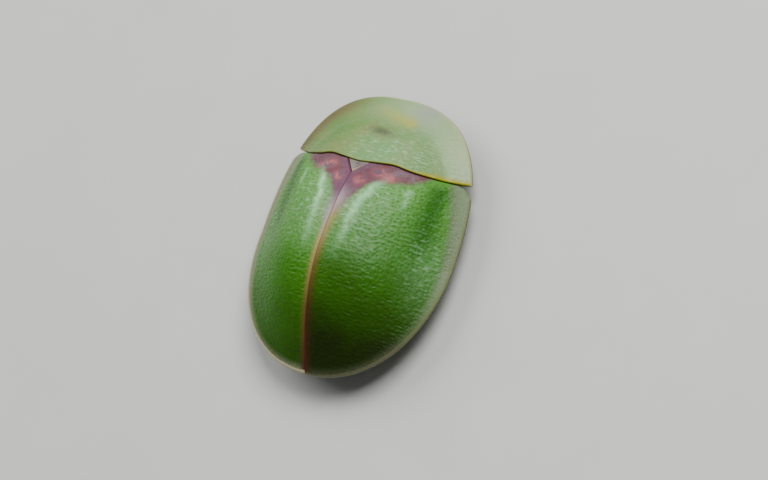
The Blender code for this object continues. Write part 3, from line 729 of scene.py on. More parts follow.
def wing_case_chitin(colours):
    """Chitin of the wing cases, grown thin and pitted, with green below a clear wax: soft, deep green."""
    finish, tree, shader, here = new_finish("wing_case_chitin")
    masks = {name: add(tree, "ShaderNodeAttribute", attribute_name=name).outputs["Fac"] for name in (
        "rear", "pit", "fold", "painted_sheen", "strip", "costa", "margin", "red", "rose", "suture", "halo",
        "seam", "rim", "under")}
    patches = add(tree, "ShaderNodeTexNoise", {"Vector": here, "Scale": per_mm(1.0), "Detail": 2.0})
    rear = add(tree, "ShaderNodeMath", {0: patches, 1: 0.24, 2: masks["rear"]}, operation="MULTIPLY_ADD")
    rear = add(tree, "ShaderNodeMath", {0: rear, 1: -0.12}, operation="ADD")
    # Green that darkens towards the tip: partly the body seen through the wing case, partly painted shade
    green = add(tree, "ShaderNodeValToRGB", {"Fac": rear}, ramp=(
        (0.10, colours.green_front), (0.42, colours.green_middle), (0.64, colours.green_low),
        (0.86, colours.green_rear)))
    mottle = add(tree, "ShaderNodeTexNoise", {"Vector": here, "Scale": per_mm(0.17), "Detail": 3.0,
                 "Distortion": 0.8})
    band, band_edge = red_band(tree, mottle, masks, colours)
    # Painted glints: the sheen colour laid on the wrinkle crests, where the painted sheen is
    painted_glints = add(tree, "ShaderNodeMath", {0: masks["fold"], 1: masks["painted_sheen"]}, operation="MULTIPLY")
    costa = add(tree, "ShaderNodeMapRange", {"Value": mottle, "From Min": 0.3, "From Max": 0.6,
                "To Min": 0.4})
    costa = add(tree, "ShaderNodeMath", {0: costa, 1: masks["costa"]}, operation="MULTIPLY")
    grit, bump = rough_grit(tree, here, 0.035, 0.25, 0.005)
    specks = add(tree, "ShaderNodeMapRange", {"Value": grit, "From Min": 0.45, "From Max": 0.62},
                 interpolation_type="SMOOTHSTEP")
    specks = add(tree, "ShaderNodeMath", {0: specks, 1: masks["margin"]}, operation="MULTIPLY")
    suture = add(tree, "ShaderNodeValToRGB", {"Fac": masks["rear"]}, ramp=(
        (0.12, colours.band_violet), (0.20, colours.suture_grey), (0.30, colours.suture_tan),
        (0.52, colours.suture_brown), (0.72, colours.suture_maroon)))
    # Painted sheen and the painted shade strip go on first, then painted shade in the pits and painted glints
    # on the wrinkle crests, under the real marks
    colour = coated(tree, green, (
        (masks["painted_sheen"], colours.painted_sheen, 0.22), (masks["strip"], colours.painted_shade_green, 0.85),
        (masks["pit"], colours.pit_painted_shade, 0.40), (painted_glints, colours.painted_sheen, 0.48),
        (costa, colours.costa_green, 0.82), (masks["margin"], colours.margin_grey, 0.80),
        (specks, colours.margin_speck, 0.45), (band_edge, band, 0.92), (masks["halo"], suture, 0.50),
        (masks["suture"], suture, 0.90), (masks["seam"], colours.suture_maroon, 0.3),
        (masks["rim"], colours.rim_cream, 0.80), (masks["under"], colours.under_green, 1.0)))
    rough = add(tree, "ShaderNodeMapRange", {"Value": grit, "To Min": 0.32, "To Max": 0.50})
    feed(tree, shader, {"Base Color": colour, "Roughness": rough, "Normal": bump, "IOR": 1.52,
                        "Specular IOR Level": 0.16, "Subsurface Weight": 0.1, "Subsurface Scale": 0.2 * MM,
                        "Subsurface Radius": (0.6, 1.0, 0.3), "Coat Weight": 0.03, "Coat Roughness": 0.2})
    return finish


def pronotum_chitin(colours):
    """Chitin of the pronotum, paler and closer wrinkled than the wing cases, glassy at its rim."""
    finish, tree, shader, here = new_finish("pronotum_chitin")
    masks = {name: add(tree, "ShaderNodeAttribute", attribute_name=name).outputs["Fac"] for name in (
        "pit", "fold", "painted_sheen", "tan", "violet", "margin", "hind", "smudge", "streak", "rim", "under")}
    patches = add(tree, "ShaderNodeTexNoise", {"Vector": here, "Scale": per_mm(0.8), "Detail": 3.0})
    olive = add(tree, "ShaderNodeValToRGB", {"Fac": patches}, ramp=(
        (0.30, colours.olive_green), (0.52, colours.olive), (0.72, colours.olive_tan)))
    # Painted glints on the wrinkle crests, where the painted sheen is
    painted_glints = add(tree, "ShaderNodeMath", {0: masks["fold"], 1: masks["painted_sheen"]}, operation="MULTIPLY")
    # Coats over the olive: painted sheen, painted shade in the pits and painted glints on the wrinkle crests,
    # then the real marks
    colour = coated(tree, olive, (
        (masks["painted_sheen"], colours.painted_sheen, 0.30), (masks["pit"], colours.olive_pit_painted_shade, 0.35),
        (painted_glints, colours.painted_sheen, 0.55), (masks["margin"], colours.margin_pale, 0.60),
        (masks["violet"], colours.violet_tint, 0.42), (masks["tan"], colours.margin_tan, 0.75),
        (masks["smudge"], colours.smudge, 0.75), (masks["streak"], colours.streak_yellow, 0.62),
        (masks["hind"], colours.hind_yellow, 0.95), (masks["rim"], colours.rim_cream, 0.45),
        (masks["under"], colours.under_green, 1.0)))
    grit, bump = rough_grit(tree, here, 0.03, 0.25, 0.005)
    rough = add(tree, "ShaderNodeMapRange", {"Value": grit, "To Min": 0.34, "To Max": 0.52})
    feed(tree, shader, {"Base Color": colour, "Roughness": rough, "Normal": bump, "IOR": 1.52,
                        "Specular IOR Level": 0.3, "Subsurface Weight": 0.15, "Subsurface Scale": 0.2 * MM,
                        "Subsurface Radius": (0.9, 1.0, 0.4), "Coat Weight": 0.1, "Coat Roughness": 0.32})
    return finish


def scutellum_chitin(colours):
    """Chitin of the scutellum, smooth and grey olive, yellow where it thins at the tip."""
    finish, tree, shader, here = new_finish("scutellum_chitin")
    tip = add(tree, "ShaderNodeAttribute", attribute_name="tip").outputs["Fac"]
    clouds = add(tree, "ShaderNodeTexNoise", {"Vector": here, "Scale": per_mm(0.15), "Detail": 2.0})
    colour = add(tree, "ShaderNodeValToRGB", {"Fac": clouds}, ramp=(
        (0.35, colours.scutellum_dark), (0.65, colours.scutellum_olive)))
    colour = coated(tree, colour, ((tip, colours.scutellum_tip, 0.85),))
    bump = add(tree, "ShaderNodeBump", {"Height": clouds, "Strength": 0.3, "Distance": 0.008 * MM})
    feed(tree, shader, {"Base Color": colour, "Roughness": 0.34, "Normal": bump, "IOR": 1.52,
                        "Subsurface Weight": 0.15, "Subsurface Scale": 0.2 * MM, "Coat Weight": 0.2,
                        "Coat Roughness": 0.2})
    return finish


def studio_paper(colours):
    """Matt paper of a studio sweep: it scatters evenly and shows only soft shade."""
    finish, tree, shader, here = new_finish("studio_paper")
    fibre = add(tree, "ShaderNodeTexNoise", {"Vector": here, "Scale": per_mm(2.0), "Detail": 2.0})
    tone = add(tree, "ShaderNodeMix", {"Factor": fibre, "A": colours.paper_dark, "B": colours.paper},
               data_type="RGBA")
    feed(tree, shader, {"Base Color": tone, "Roughness": 0.9})
    return finish


# Shell pieces

def roll(edge_distance):
    """How far the surface falls over a rounded rim, at a distance from the edge."""
    left = RIM_ROUNDING - clamp(edge_distance, 0.0, RIM_ROUNDING)
    return RIM_ROUNDING - np.sqrt(np.maximum(RIM_ROUNDING ** 2 - left ** 2, 0.0))


def lengths(points, axis):
    """Running length along the lines of a grid of points."""
    steps = np.linalg.norm(np.diff(points, axis=axis), axis=-1)
    start = np.zeros_like(np.take(steps, [0], axis))
    return np.concatenate([start, np.cumsum(steps, axis)], axis)


def edge_distance(x, y, share):
    """Distance from the outline of the shell, towards its middle."""
    return (1 - share) * np.hypot(x, y - WIDEST_Y) / np.maximum(share, 0.1)


def shell_points(x, y, z):
    """Fine outer points of a plate of the shell, and its coarse inner ones."""
    inner = np.stack([x, y, under_z(x, y)], -1)
    return np.stack([x, y, z], -1), inner[::COARSE_STEP, ::COARSE_STEP]


def shell_piece(name, outer, inner, values):
    """Plate whose inner side has the surface values of the points above it, but no grain."""
    vertices, faces = plate(outer, inner)
    whole = {"under": np.repeat((0.0, 1.0), (outer[..., 0].size, inner[..., 0].size))}
    for key, value in values.items():
        thin = value[::COARSE_STEP, ::COARSE_STEP]
        if key in ("pitted", "ridged"):
            thin = 0 * thin
        shape = (-1, 3) if value.ndim == 3 else (-1,)
        whole[key] = np.concatenate([value.reshape(shape), thin.reshape(shape)])
    return mesh_object(name, vertices, faces, whole)


def costa_share(y):
    """Place of the costa as a share of the half width: it spreads towards the base."""
    return COSTA_SHARE + COSTA_SPREAD * np.exp((COSTA_START_Y - y) / COSTA_SPREAD_LENGTH)


def wing_base_y(x):
    """Front edge of a wing case, with its rounded shoulder."""
    shoulder = SHOULDER_ROUND * clamp((x - SHOULDER_X) / SHOULDER_WIDTH, 0.0, 1.5) ** 2
    return hind_y(np.minimum(x, CORNER_X)) + FINE_GAP + shoulder


def wing_case_grid():
    """x and y of the left wing case from base to tip and from suture to margin."""
    rows, columns = WING_CASE_GRID
    front_rows = rows // 3
    row_y = blend(SCUTELLUM_BASE_Y, WIDEST_Y, np.arange(front_rows) / front_rows)
    angle = TIP_TURN * math.pi * np.linspace(0, 1, rows - front_rows + 1)
    row_y = np.concatenate([row_y, WIDEST_Y + REAR_REACH * np.sin(angle) ** (2 / REAR_POWER)])[:, None]
    share = np.linspace(0, 1, columns + 1)[None, :]
    fade = clamp(1 - (row_y - SCUTELLUM_BASE_Y) / STRAIGHT_AFTER) ** 2
    slope = SCUTELLUM_HALF / SCUTELLUM_LENGTH
    y = row_y + 0 * share
    for _ in range(SETTLING_STEPS):
        inner = np.maximum(SUTURE_GAP, (SCUTELLUM_TIP_Y - y) * slope + FINE_GAP)
        x = blend(inner, half_width_at(y), share)
        y = row_y + (wing_base_y(x) - SCUTELLUM_BASE_Y) * fade
    return x, y, inner


def wing_case_marks(side, x, y, base, edge, inward, costa_x, costa_fade):
    """Masks for the colours and the grain of a wing case, by distance from its base, edge and suture."""
    band = BAND_DEPTH * clamp(1 - (x / BAND_REACH_X) ** 3, -1, 1)
    band += BAND_MIDDLE[side] * swell(x, BAND_MIDDLE_HALF)
    red = clamp((band - base) / BAND_EDGE, -1, 1) * 0.5 + 0.5
    rear = clamp(base / WING_CASE_LENGTH)
    start = np.interp(rear, MARGIN_PLACES, MARGIN_STARTS[side])
    margin = rise(clamp(shell_share(x, y)), start, start + MARGIN_SOFTNESS)
    outer_costa = OUTER_COSTA_PALENESS * swell(x - OUTER_COSTA_X, OUTER_COSTA_HALF)
    outer_costa *= rise(y, *OUTER_COSTA_STARTS_Y) * rise(y, *OUTER_COSTA_ENDS_Y)
    # Painted sheen: a pale colour where the front of the wing case, and a band near its margin, would reflect
    # the light
    inner_painted_sheen = rise(y, *PAINTED_SHEEN_ENDS_Y) * blend(1.0, FAINTEST_PAINTED_SHEEN, rise(x, *INNER_PAINTED_SHEEN_X))
    outer_painted_sheen = OUTER_PAINTED_SHEEN * swell(x - OUTER_PAINTED_SHEEN_X, OUTER_PAINTED_SHEEN_HALF)
    outer_painted_sheen *= rise(y, *OUTER_PAINTED_SHEEN_STARTS_Y) * rise(y, *OUTER_PAINTED_SHEEN_ENDS_Y)
    # Painted shade: a dark strip on the slope behind each shoulder, which turns away from the light
    strip = swell(x - SHADE_STRIP_X, SHADE_STRIP_HALF) * rise(y, *SHADE_STRIP_ENDS_Y) * rise(base, 0, 0.3)
    pitted = rise(inward, 0, BARE_BY_SUTURE) * rise(base, 0, BARE_BY_BASE) * rise(edge, 0, BARE_BY_EDGE)
    pitted *= (1 - 0.75 * rise(red, 0.2, 0.7)) * (1 - 0.75 * margin)
    pitted *= (1 - 0.35 * costa_fade * swell(x - costa_x, COSTA_HALF))
    return {
        "rear": rear * TIP_DARKENING_AND_SHADE[side],
        "painted_sheen": inner_painted_sheen + outer_painted_sheen,
        "strip": clamp(strip + MARGIN_PAINTED_SHADE[side] * margin * rise(y, *SHADE_ENDS_Y)),
        "costa": np.maximum(costa_fade * swell(x - costa_x, COSTA_TINT_HALF), outer_costa),
        "margin": margin * blend(*MARGIN_COVER[side], rise(y, *MARGIN_COVER_Y)),
        "suture": swell(inward, SUTURE_TINT_HALF),
        "halo": swell(inward, SUTURE_HALO_HALF) * rise(y, *HALO_STARTS_Y) * rise(y, *HALO_ENDS_Y),
        "seam": rise(inward, *SEAM_X),
        # Pale bead of the edge, partly a painted highlight, strongest on the left
        "rim": BEAD_PALENESS_AND_HIGHLIGHT[side] * rise(edge, BEAD_WIDTH[side], BEAD_WIDTH[side] - BEAD_SOFTNESS),
        "red": red * blend(1.0, BAND_FADED, rise(y, *BAND_FADES_Y)),
        "rose": sum(oval(x, y, centre, *BAND_ROSE_HALF) for centre in BAND_ROSE),
        "pitted": pitted * blend(1.0, 0.6, rise(y, *SPARSE_PITS_Y)),
        "ridged": margin * rise(edge, 0, RIDGELESS_EDGE),
    }


def make_wing_case(side, sizes, tree, finish):
    """Wing case of one side, worked out as the left one and turned over for the right."""
    x, y, inner = wing_case_grid()
    base = y - wing_base_y(x)
    edge = edge_distance(x, y, clamp(shell_share(x, y)))
    inward = x - inner
    costa_x = costa_share(y) * half_width_at(y) + COSTA_WAVER * np.sin(9 * y) * np.sin(4 * y + 1)
    costa_fade = rise(y, *COSTA_ENDS_Y) * rise(base, 0, 0.4)
    z = dome_z(x, y) + SUTURE_RIDGE * swell(inward, SUTURE_HALF)
    z += COSTA_RIDGE * swell(x - costa_x, COSTA_HALF) * blend(0.4, 1.0, costa_fade)
    for spot_x, spot_y, height, half_x, half_y in (SHOULDER_KNOB, BASE_DENT):
        z += height * oval(x, y, (spot_x, spot_y), half_x, half_y)
    z -= roll(edge) + 1.2 * roll(base) + 0.35 * roll(inward)
    outer, under = shell_points(x, y, z)
    values = wing_case_marks(side, x, y, base, edge, inward, costa_x, costa_fade)
    values["lie"] = np.stack([lengths(outer, 1), y, lengths(outer[:, -1:], 0) + 0 * x], -1)
    if side < 0:
        flip = np.array([-1.0, 1.0, 1.0])
        outer, under = (outer * flip)[:, ::-1], (under * flip)[:, ::-1]
        values = {key: value[:, ::-1] for key, value in values.items()}
    name = "left" if side > 0 else "right"
    case = shell_piece("wing_case_" + name, outer, under, values)
    settle(case, tree, grain_inputs(sizes, finish, seed=11.0 if side > 0 else 23.0))
    hand_over(case, "wing_case", "elytron_" + name)


def grain_inputs(sizes, finish, seed, fineness=1.0, depth=1.0):
    """Inputs of the grain tree, in millimetres, from the sizes that a user sets."""
    return {
        "Pit Across": sizes.pit_across / MM * fineness, "Pit Along": sizes.pit_along / MM * fineness,
        "Pit Radius": sizes.pit_share, "Pit Depth": sizes.pit_depth / MM * depth,
        "Pit Scatter": sizes.pit_scatter,
        "Wrinkle Across": sizes.wrinkle_across / MM * fineness,
        "Wrinkle Along": sizes.wrinkle_along / MM * fineness,
        "Wrinkle Height": sizes.wrinkle_height / MM * depth,
        "Ridge Pitch": sizes.ridge_pitch / MM, "Ridge Height": sizes.ridge_height / MM,
        "Seed": seed, "Finish": finish,
    }


def pronotum_marks(x, y, back, hind, edge):
    """Masks for the colours and the grain of the pronotum, by distance from its hind margin and edge."""
    share = clamp(shell_share(x, y))
    margin = rise(share, *PRONOTUM_MARGIN_SHARE)
    corner = rise(x, *CORNER_SPREAD_X)
    hind_width = blend(*HIND_WIDTH, corner)
    yellow = rise(hind, hind_width, hind_width - blend(*HIND_SOFTNESS, corner))
    beside, along = beside_line(x, y, STREAK_START, STREAK_END)
    pitted = rise(hind, 0, BARE_BY_BASE) * rise(edge, 0, BARE_BY_EDGE) * (1 - 0.4 * margin)
    return {
        # Painted sheen towards the back of the pronotum, on its right
        "painted_sheen": ease(back * 1.5 - 0.2) * swell(x - PRONOTUM_PAINTED_SHEEN_X, PRONOTUM_PAINTED_SHEEN_HALF),
        "violet": oval(x, y, VIOLET, VIOLET_HALF, VIOLET_HALF),
        "margin": margin * blend(PRONOTUM_MARGIN_LEFT, 1.0, rise(x, *PRONOTUM_MARGIN_X)),
        "tan": rise(share, *TAN_SHARE) * blend(TAN_RIGHT, 1.0, rise(x, *TAN_X)),
        "hind": yellow * blend(HIND_LEFT, 1.0, rise(x, *HIND_X)),
        "rim": rise(edge, *PRONOTUM_BEAD),
        "smudge": oval(x, y + SMUDGE_SLANT * x, SMUDGE, *SMUDGE_HALF),
        "streak": swell(beside, STREAK_HALF) * blend(0.2, 1.0, along),
        "pitted": pitted * blend(0.85, 1.0, ease(back * 1.6 - 0.2)),
        "ridged": 0.4 * margin * rise(edge, 0, RIDGELESS_EDGE),
    }


def make_pronotum(sizes, colours, tree):
    """Pronotum: a shield with a shallow furrow inside its margin and a raised hind edge."""
    rows, columns = PRONOTUM_GRID
    turn = np.linspace(-0.5, 0.5, columns + 1)[None, :] * math.pi
    x = CORNER_KEPT * CORNER_X * np.sin(turn) + np.zeros((rows + 1, 1))
    back = np.linspace(0, 1, rows + 1)[:, None]
    y = blend(front_y(x), hind_y(x), back)
    share = clamp(shell_share(x, y))
    hind = hind_y(x) - y
    edge = edge_distance(x, y, share)
    z = dome_z(x, y) - FLANGE_DEPTH * swell(share - FLANGE_SHARE, FLANGE_HALF)
    z += HIND_LIFT * rise(hind, 0.35, 0) * rise(np.abs(x), CORNER_X, CORNER_X - 0.4)
    z -= roll(edge) + 0.8 * roll(hind)
    outer, under = shell_points(x, y, z)
    values = pronotum_marks(x, y, back, hind, edge)
    values["lie"] = np.stack([x, y, lengths(outer[:1], 1) + 0 * x], -1)
    piece = shell_piece("pronotum_shield", outer, under, values)
    finish = pronotum_chitin(colours)
    settle(piece, tree, grain_inputs(sizes, finish, seed=5.0, fineness=0.85, depth=0.9))
    hand_over(piece, "pronotum", "pronotum")


def make_scutellum(sizes, colours, tree):
    """Scutellum: a small plate that narrows to a blunt tip between the wing cases."""
    rows, columns = SCUTELLUM_GRID
    half = SCUTELLUM_HALF - FINE_GAP / 2
    x = np.linspace(-half, half, columns + 1)[None, :] + np.zeros((rows + 1, 1))
    back = np.linspace(0, 1, rows + 1)[:, None]
    across = (x / half) ** 2
    round_tip = SCUTELLUM_LENGTH * (1 - np.sqrt(blend(across, across ** 2, 0.14)))
    rear = SCUTELLUM_BASE_Y + np.maximum(round_tip, 0.002)
    front = hind_y(x) + FINE_GAP
    y = blend(front, np.maximum(rear, front + 0.004), back)
    z = dome_z(x, y) - SCUTELLUM_SINK - 0.5 * roll(rear - y)
    z += SCUTELLUM_SWELL * oval(x, y, (0.0, SCUTELLUM_BASE_Y + 0.1), 0.12, 0.12)
    tip = rise(rear - y, 0.08, 0) * swell(x, 0.10)
    outer, under = shell_points(x, y, z)
    values = {"lie": np.stack([x, y, 0 * x], -1), "tip": tip, "pitted": 0.4 * (1 - tip), "ridged": 0 * x}
    piece = shell_piece("scutellum_plate", outer, under, values)
    finish = scutellum_chitin(colours)
    settle(piece, tree, grain_inputs(sizes, finish, seed=3.0, fineness=0.5, depth=0.4))
    hand_over(piece, "scutellum", "scutellum")


# Underside, head and limbs

def route(knots, count, even=False):
    """Points of a smooth curve through knots, close together at both ends unless even."""
    knots = np.asarray(knots, float)
    knots = np.vstack([2 * knots[0] - knots[1], knots, 2 * knots[-1] - knots[-2]])
    share = np.linspace(0, 1, count + 1)
    if not even:
        share = (1 - np.cos(math.pi * share)) / 2
    place = share * (len(knots) - 3)
    span = np.minimum(place.astype(int), len(knots) - 4)
    t = (place - span)[:, None]
    a, b, c, d = (knots[span + step] for step in range(4))
    bend = (2 * a - 5 * b + 4 * c - d) * t ** 2 + (3 * b - a - 3 * c + d) * t ** 3
    return 0.5 * (2 * b + (c - a) * t + bend)


def unit(vectors):
    """Vectors brought to a length of 1."""
    return vectors / np.maximum(np.linalg.norm(vectors, axis=-1, keepdims=True), 1e-9)


class Form:
    """Vertices, faces and surface values of a piece joined from several closed bars."""

    def __init__(self):
        self.vertices = np.zeros((0, 3))
        self.faces = []
        self.values = {"tone": np.zeros(0), "hairy": np.zeros(0), "lay": np.zeros((0, 3)),
                       "skin": np.zeros((0, 3))}
        self.bars = 0

    def bar(self, knots, rings, sides, caps=None, tone=0.0, hairy=1.0):
        """Adds a round bar through knots of x, y, z, half width and half height, with rounded ends."""
        line = route(knots, rings)
        centre, halves = line[:, :3], np.maximum(line[:, 3:5], 0.001)
        lay = unit(np.gradient(centre, axis=0))
        length = lengths(centre[:, None], 0)[:, 0]
        start, end = caps or (halves[0].mean(), halves[-1].mean())
        round_off = np.ones(len(length))
        for reach, far in ((start, length), (end, length[-1] - length)):
            left = 1 - np.minimum(far, reach) / reach
            round_off *= np.sqrt(np.maximum(1 - left ** 2, 0.0004))
        aside = unit(np.cross(UPWARDS, lay))
        raised = np.cross(lay, aside)
        turn = np.arange(sides) / sides * math.tau
        ring = (aside[:, None] * (halves[:, :1] * np.cos(turn))[..., None]
                + raised[:, None] * (halves[:, 1:] * np.sin(turn))[..., None])
        vertices = centre[:, None] + ring * round_off[:, None, None]
        index = np.arange((rings + 1) * sides).reshape(rings + 1, sides) + len(self.vertices)
        after = np.roll(index, -1, axis=1)
        faces = np.stack([index[:-1], after[:-1], after[1:], index[1:]], -1).reshape(-1, 4).tolist()
        self.faces += faces + [index[0, ::-1].tolist(), index[-1].tolist()]
        self.vertices = np.concatenate([self.vertices, vertices.reshape(-1, 3)])
        share = np.repeat(length / length[-1], sides)
        across = np.tile(turn / math.tau, rings + 1)
        cell_x, cell_y = self.bars % SKIN_CELLS, self.bars // SKIN_CELLS
        skin = np.stack([cell_x + SKIN_FILL * across, cell_y + SKIN_FILL * share, 0 * share], -1)
        shade = tone(share) if callable(tone) else 0 * share + tone
        new = {"tone": shade, "hairy": 0 * share + hairy, "lay": np.repeat(lay, sides, axis=0),
               "skin": skin / SKIN_CELLS}
        for name, value in new.items():
            self.values[name] = np.concatenate([self.values[name], value])
        self.bars += 1

    def mirrored(self):
        """The same form on the other side of the beetle."""
        twin = Form()
        twin.vertices = self.vertices * (-1, 1, 1)
        twin.faces = [face[::-1] for face in self.faces]
        twin.values = {name: value.copy() for name, value in self.values.items()}
        twin.values["lay"] = self.values["lay"] * (-1, 1, 1)
        twin.bars = self.bars
        return twin

    def joined(self, other):
        """Adds all of another form, with its own cells of the unwrapped skin."""
        start = len(self.vertices)
        self.vertices = np.concatenate([self.vertices, other.vertices])
        self.faces += [[corner + start for corner in face] for face in other.faces]
        for name, value in other.values.items():
            if name == "skin":
                cells = np.floor(value * SKIN_CELLS)
                count = cells[:, 0] + cells[:, 1] * SKIN_CELLS + self.bars
                shifted = np.stack([count % SKIN_CELLS, count // SKIN_CELLS, 0 * count], -1)
                value = value + (shifted - cells) / SKIN_CELLS
            self.values[name] = np.concatenate([self.values[name], value])
        self.bars += other.bars


def form_piece(name, form, finish, slot, node):
    """Makes a form a finished piece in place of one solid."""
    piece = mesh_object(name, form.vertices, form.faces, form.values)
    piece.data.materials.append(finish)
    hand_over(piece, slot, node)


def form_pair(name, left, finish, slot):
    """A left form and its mirror image, each in place of its solid. Returns both."""
    right = left.mirrored()
    form_piece(name + "_left_fine", left, finish, slot, name + "_left")
    form_piece(name + "_right_fine", right, finish, slot, name + "_right")
    return [left, right]


def bristle(tree, given):
    """One bristle, a slender cone that carries its own small patch of the unwrap."""
    cone = add(tree, "GeometryNodeMeshCone", {"Vertices": 4, "Radius Top": 0.0,
               "Radius Bottom": given["Thickness"], "Depth": given["Length"]}, fill_type="NGON")
    place = add(tree, "GeometryNodeInputPosition")
    patch = add(tree, "ShaderNodeVectorMath", {0: place, 1: (BAKE_PATCH, BAKE_PATCH, BAKE_PATCH)},
                operation="MULTIPLY")
    patch = add(tree, "ShaderNodeVectorMath", {0: patch, 1: given["Length"]}, operation="DIVIDE")
    axes = add(tree, "ShaderNodeSeparateXYZ", {"Vector": patch})
    patch = add(tree, "ShaderNodeCombineXYZ", {"X": axes.outputs["X"], "Y": axes.outputs["Z"]})
    return add(tree, "GeometryNodeStoreNamedAttribute", {"Geometry": cone, "Name": "patch",
               "Value": patch}, data_type="FLOAT_VECTOR", domain="POINT")


def down_tree():
    """Short bristles scattered over a surface, leaning the way that it lies.

    The surface carries "hairy", the share of bristles at each place, "lay", their direction, and
    "skin", its unwrap. Each bristle is a patch of the map OFBake at its root's place.
    """
    tree, given = geometry_tree("down", {
        "Density": "Float", "Length": "Float", "Thickness": "Float", "Lean": "Float", "Seed": "Int",
        "Finish": "Material",
    })
    hairy = add(tree, "GeometryNodeInputNamedAttribute", {"Name": "hairy"}, data_type="FLOAT")
    density = add(tree, "ShaderNodeMath", {0: given["Density"], 1: hairy}, operation="MULTIPLY")
    roots = add(tree, "GeometryNodeDistributePointsOnFaces", {"Mesh": given["Geometry"],
                "Density": density, "Seed": given["Seed"]}, distribute_method="RANDOM")
    lay = add(tree, "GeometryNodeInputNamedAttribute", {"Name": "lay"}, data_type="FLOAT_VECTOR")
    lean = add(tree, "ShaderNodeVectorMath", {0: lay, "Scale": given["Lean"]}, operation="SCALE")
    kept = add(tree, "GeometryNodeStoreNamedAttribute", {"Geometry": roots.outputs["Points"],
               "Name": "rise", "Value": roots.outputs["Normal"]}, data_type="FLOAT_VECTOR", domain="POINT")
    outwards = add(tree, "GeometryNodeInputNamedAttribute", {"Name": "rise"}, data_type="FLOAT_VECTOR")
    stray = add(tree, "FunctionNodeRandomValue", {"Min": (-0.25, -0.25, -0.25), "Max": (0.25, 0.25, 0.25),
                "Seed": given["Seed"]}, data_type="FLOAT_VECTOR")
    way = add(tree, "ShaderNodeVectorMath", {0: outwards, 1: lean}, operation="ADD")
    way = add(tree, "ShaderNodeVectorMath", {0: way, 1: stray}, operation="ADD")
    turn = add(tree, "FunctionNodeAlignRotationToVector", {"Vector": way}, axis="Z")
    size = add(tree, "FunctionNodeRandomValue", {"Min": 0.6, "Max": 1.25, "Seed": given["Seed"]},
               data_type="FLOAT")
    set_out = add(tree, "GeometryNodeInstanceOnPoints", {"Points": kept,
                  "Instance": bristle(tree, given), "Rotation": turn, "Scale": size})
    real = add(tree, "GeometryNodeRealizeInstances", {"Geometry": set_out})
    skin = add(tree, "GeometryNodeInputNamedAttribute", {"Name": "skin"}, data_type="FLOAT_VECTOR")
    patch = add(tree, "GeometryNodeInputNamedAttribute", {"Name": "patch"}, data_type="FLOAT_VECTOR")
    spot = add(tree, "ShaderNodeVectorMath", {0: skin, 1: patch}, operation="ADD")
    mapped = add(tree, "GeometryNodeStoreNamedAttribute", {"Geometry": real, "Name": "OFBake",
                 "Value": spot}, data_type="FLOAT2", domain="CORNER")
    done = add(tree, "GeometryNodeSetMaterial", {"Geometry": mapped, "Material": given["Finish"]})
    add(tree, "NodeGroupOutput", {"Geometry": done})
    return tree


def down_piece(name, forms, tree, finish, slot, density, length, thickness, lean, seed):
    """Bristles of several forms, as one piece."""
    skin = Form()
    for form in forms:
        skin.joined(form)
    skin.values["hairy"] *= ease((skin.vertices[:, 2] - BARE_BELOW_Z) / BARE_BELOW_Z)
    holder = mesh_object(name, skin.vertices, skin.faces, skin.values)
    settle(holder, tree, {"Density": density, "Length": length, "Thickness": thickness,
                          "Lean": lean, "Seed": seed, "Finish": finish})
    hand_over(holder, slot)


def body_chitin(colours):
    """Black chitin of the underside, close pitted, dull between its shining points, amber at the edge."""
    finish, tree, shader, here = new_finish("body_chitin")
    tone = add(tree, "ShaderNodeAttribute", attribute_name="tone").outputs["Fac"]
    clouds = add(tree, "ShaderNodeTexNoise", {"Vector": here, "Scale": per_mm(0.3), "Detail": 3.0})
    colour = add(tree, "ShaderNodeValToRGB", {"Fac": clouds}, ramp=(
        (0.3, colours.black), (0.7, colours.black_brown)))
    colour = coated(tree, colour, ((tone, colours.amber, 1.0),))
    bump = rough_grit(tree, here, 0.04, 0.5, 0.008)[1]
    rough = add(tree, "ShaderNodeMapRange", {"Value": clouds, "To Min": 0.25, "To Max": 0.5})
    feed(tree, shader, {"Base Color": colour, "Roughness": rough, "Normal": bump, "IOR": 1.54,
                        "Coat Weight": 0.15, "Coat Roughness": 0.2})
    return finish


def limb_chitin(name, light, dark, colours):
    """Amber chitin of legs and feelers, thin enough to glow, with dark parts where the tone is 1."""
    finish, tree, shader, here = new_finish(name)
    tone = add(tree, "ShaderNodeAttribute", attribute_name="tone").outputs["Fac"]
    clouds = add(tree, "ShaderNodeTexNoise", {"Vector": here, "Scale": per_mm(0.12), "Detail": 3.0})
    amber = add(tree, "ShaderNodeMix", {"Factor": clouds, "A": light, "B": colours.amber_deep},
                data_type="RGBA")
    waver = add(tree, "ShaderNodeMath", {0: clouds, 1: 0.5, 2: tone}, operation="MULTIPLY_ADD")
    waver = add(tree, "ShaderNodeMapRange", {"Value": waver, "From Min": 0.5, "From Max": 1.0},
                interpolation_type="SMOOTHSTEP")
    colour = coated(tree, amber, ((waver, dark, 1.0),))
    bump = rough_grit(tree, here, 0.025, 0.5, 0.009)[1]
    rough = add(tree, "ShaderNodeMapRange", {"Value": clouds, "To Min": 0.28, "To Max": 0.46})
    feed(tree, shader, {"Base Color": colour, "Roughness": rough, "Normal": bump, "IOR": 1.54,
                        "Subsurface Weight": 0.2, "Subsurface Scale": 0.12 * MM,
                        "Subsurface Radius": (1.0, 0.6, 0.2)})
    return finish


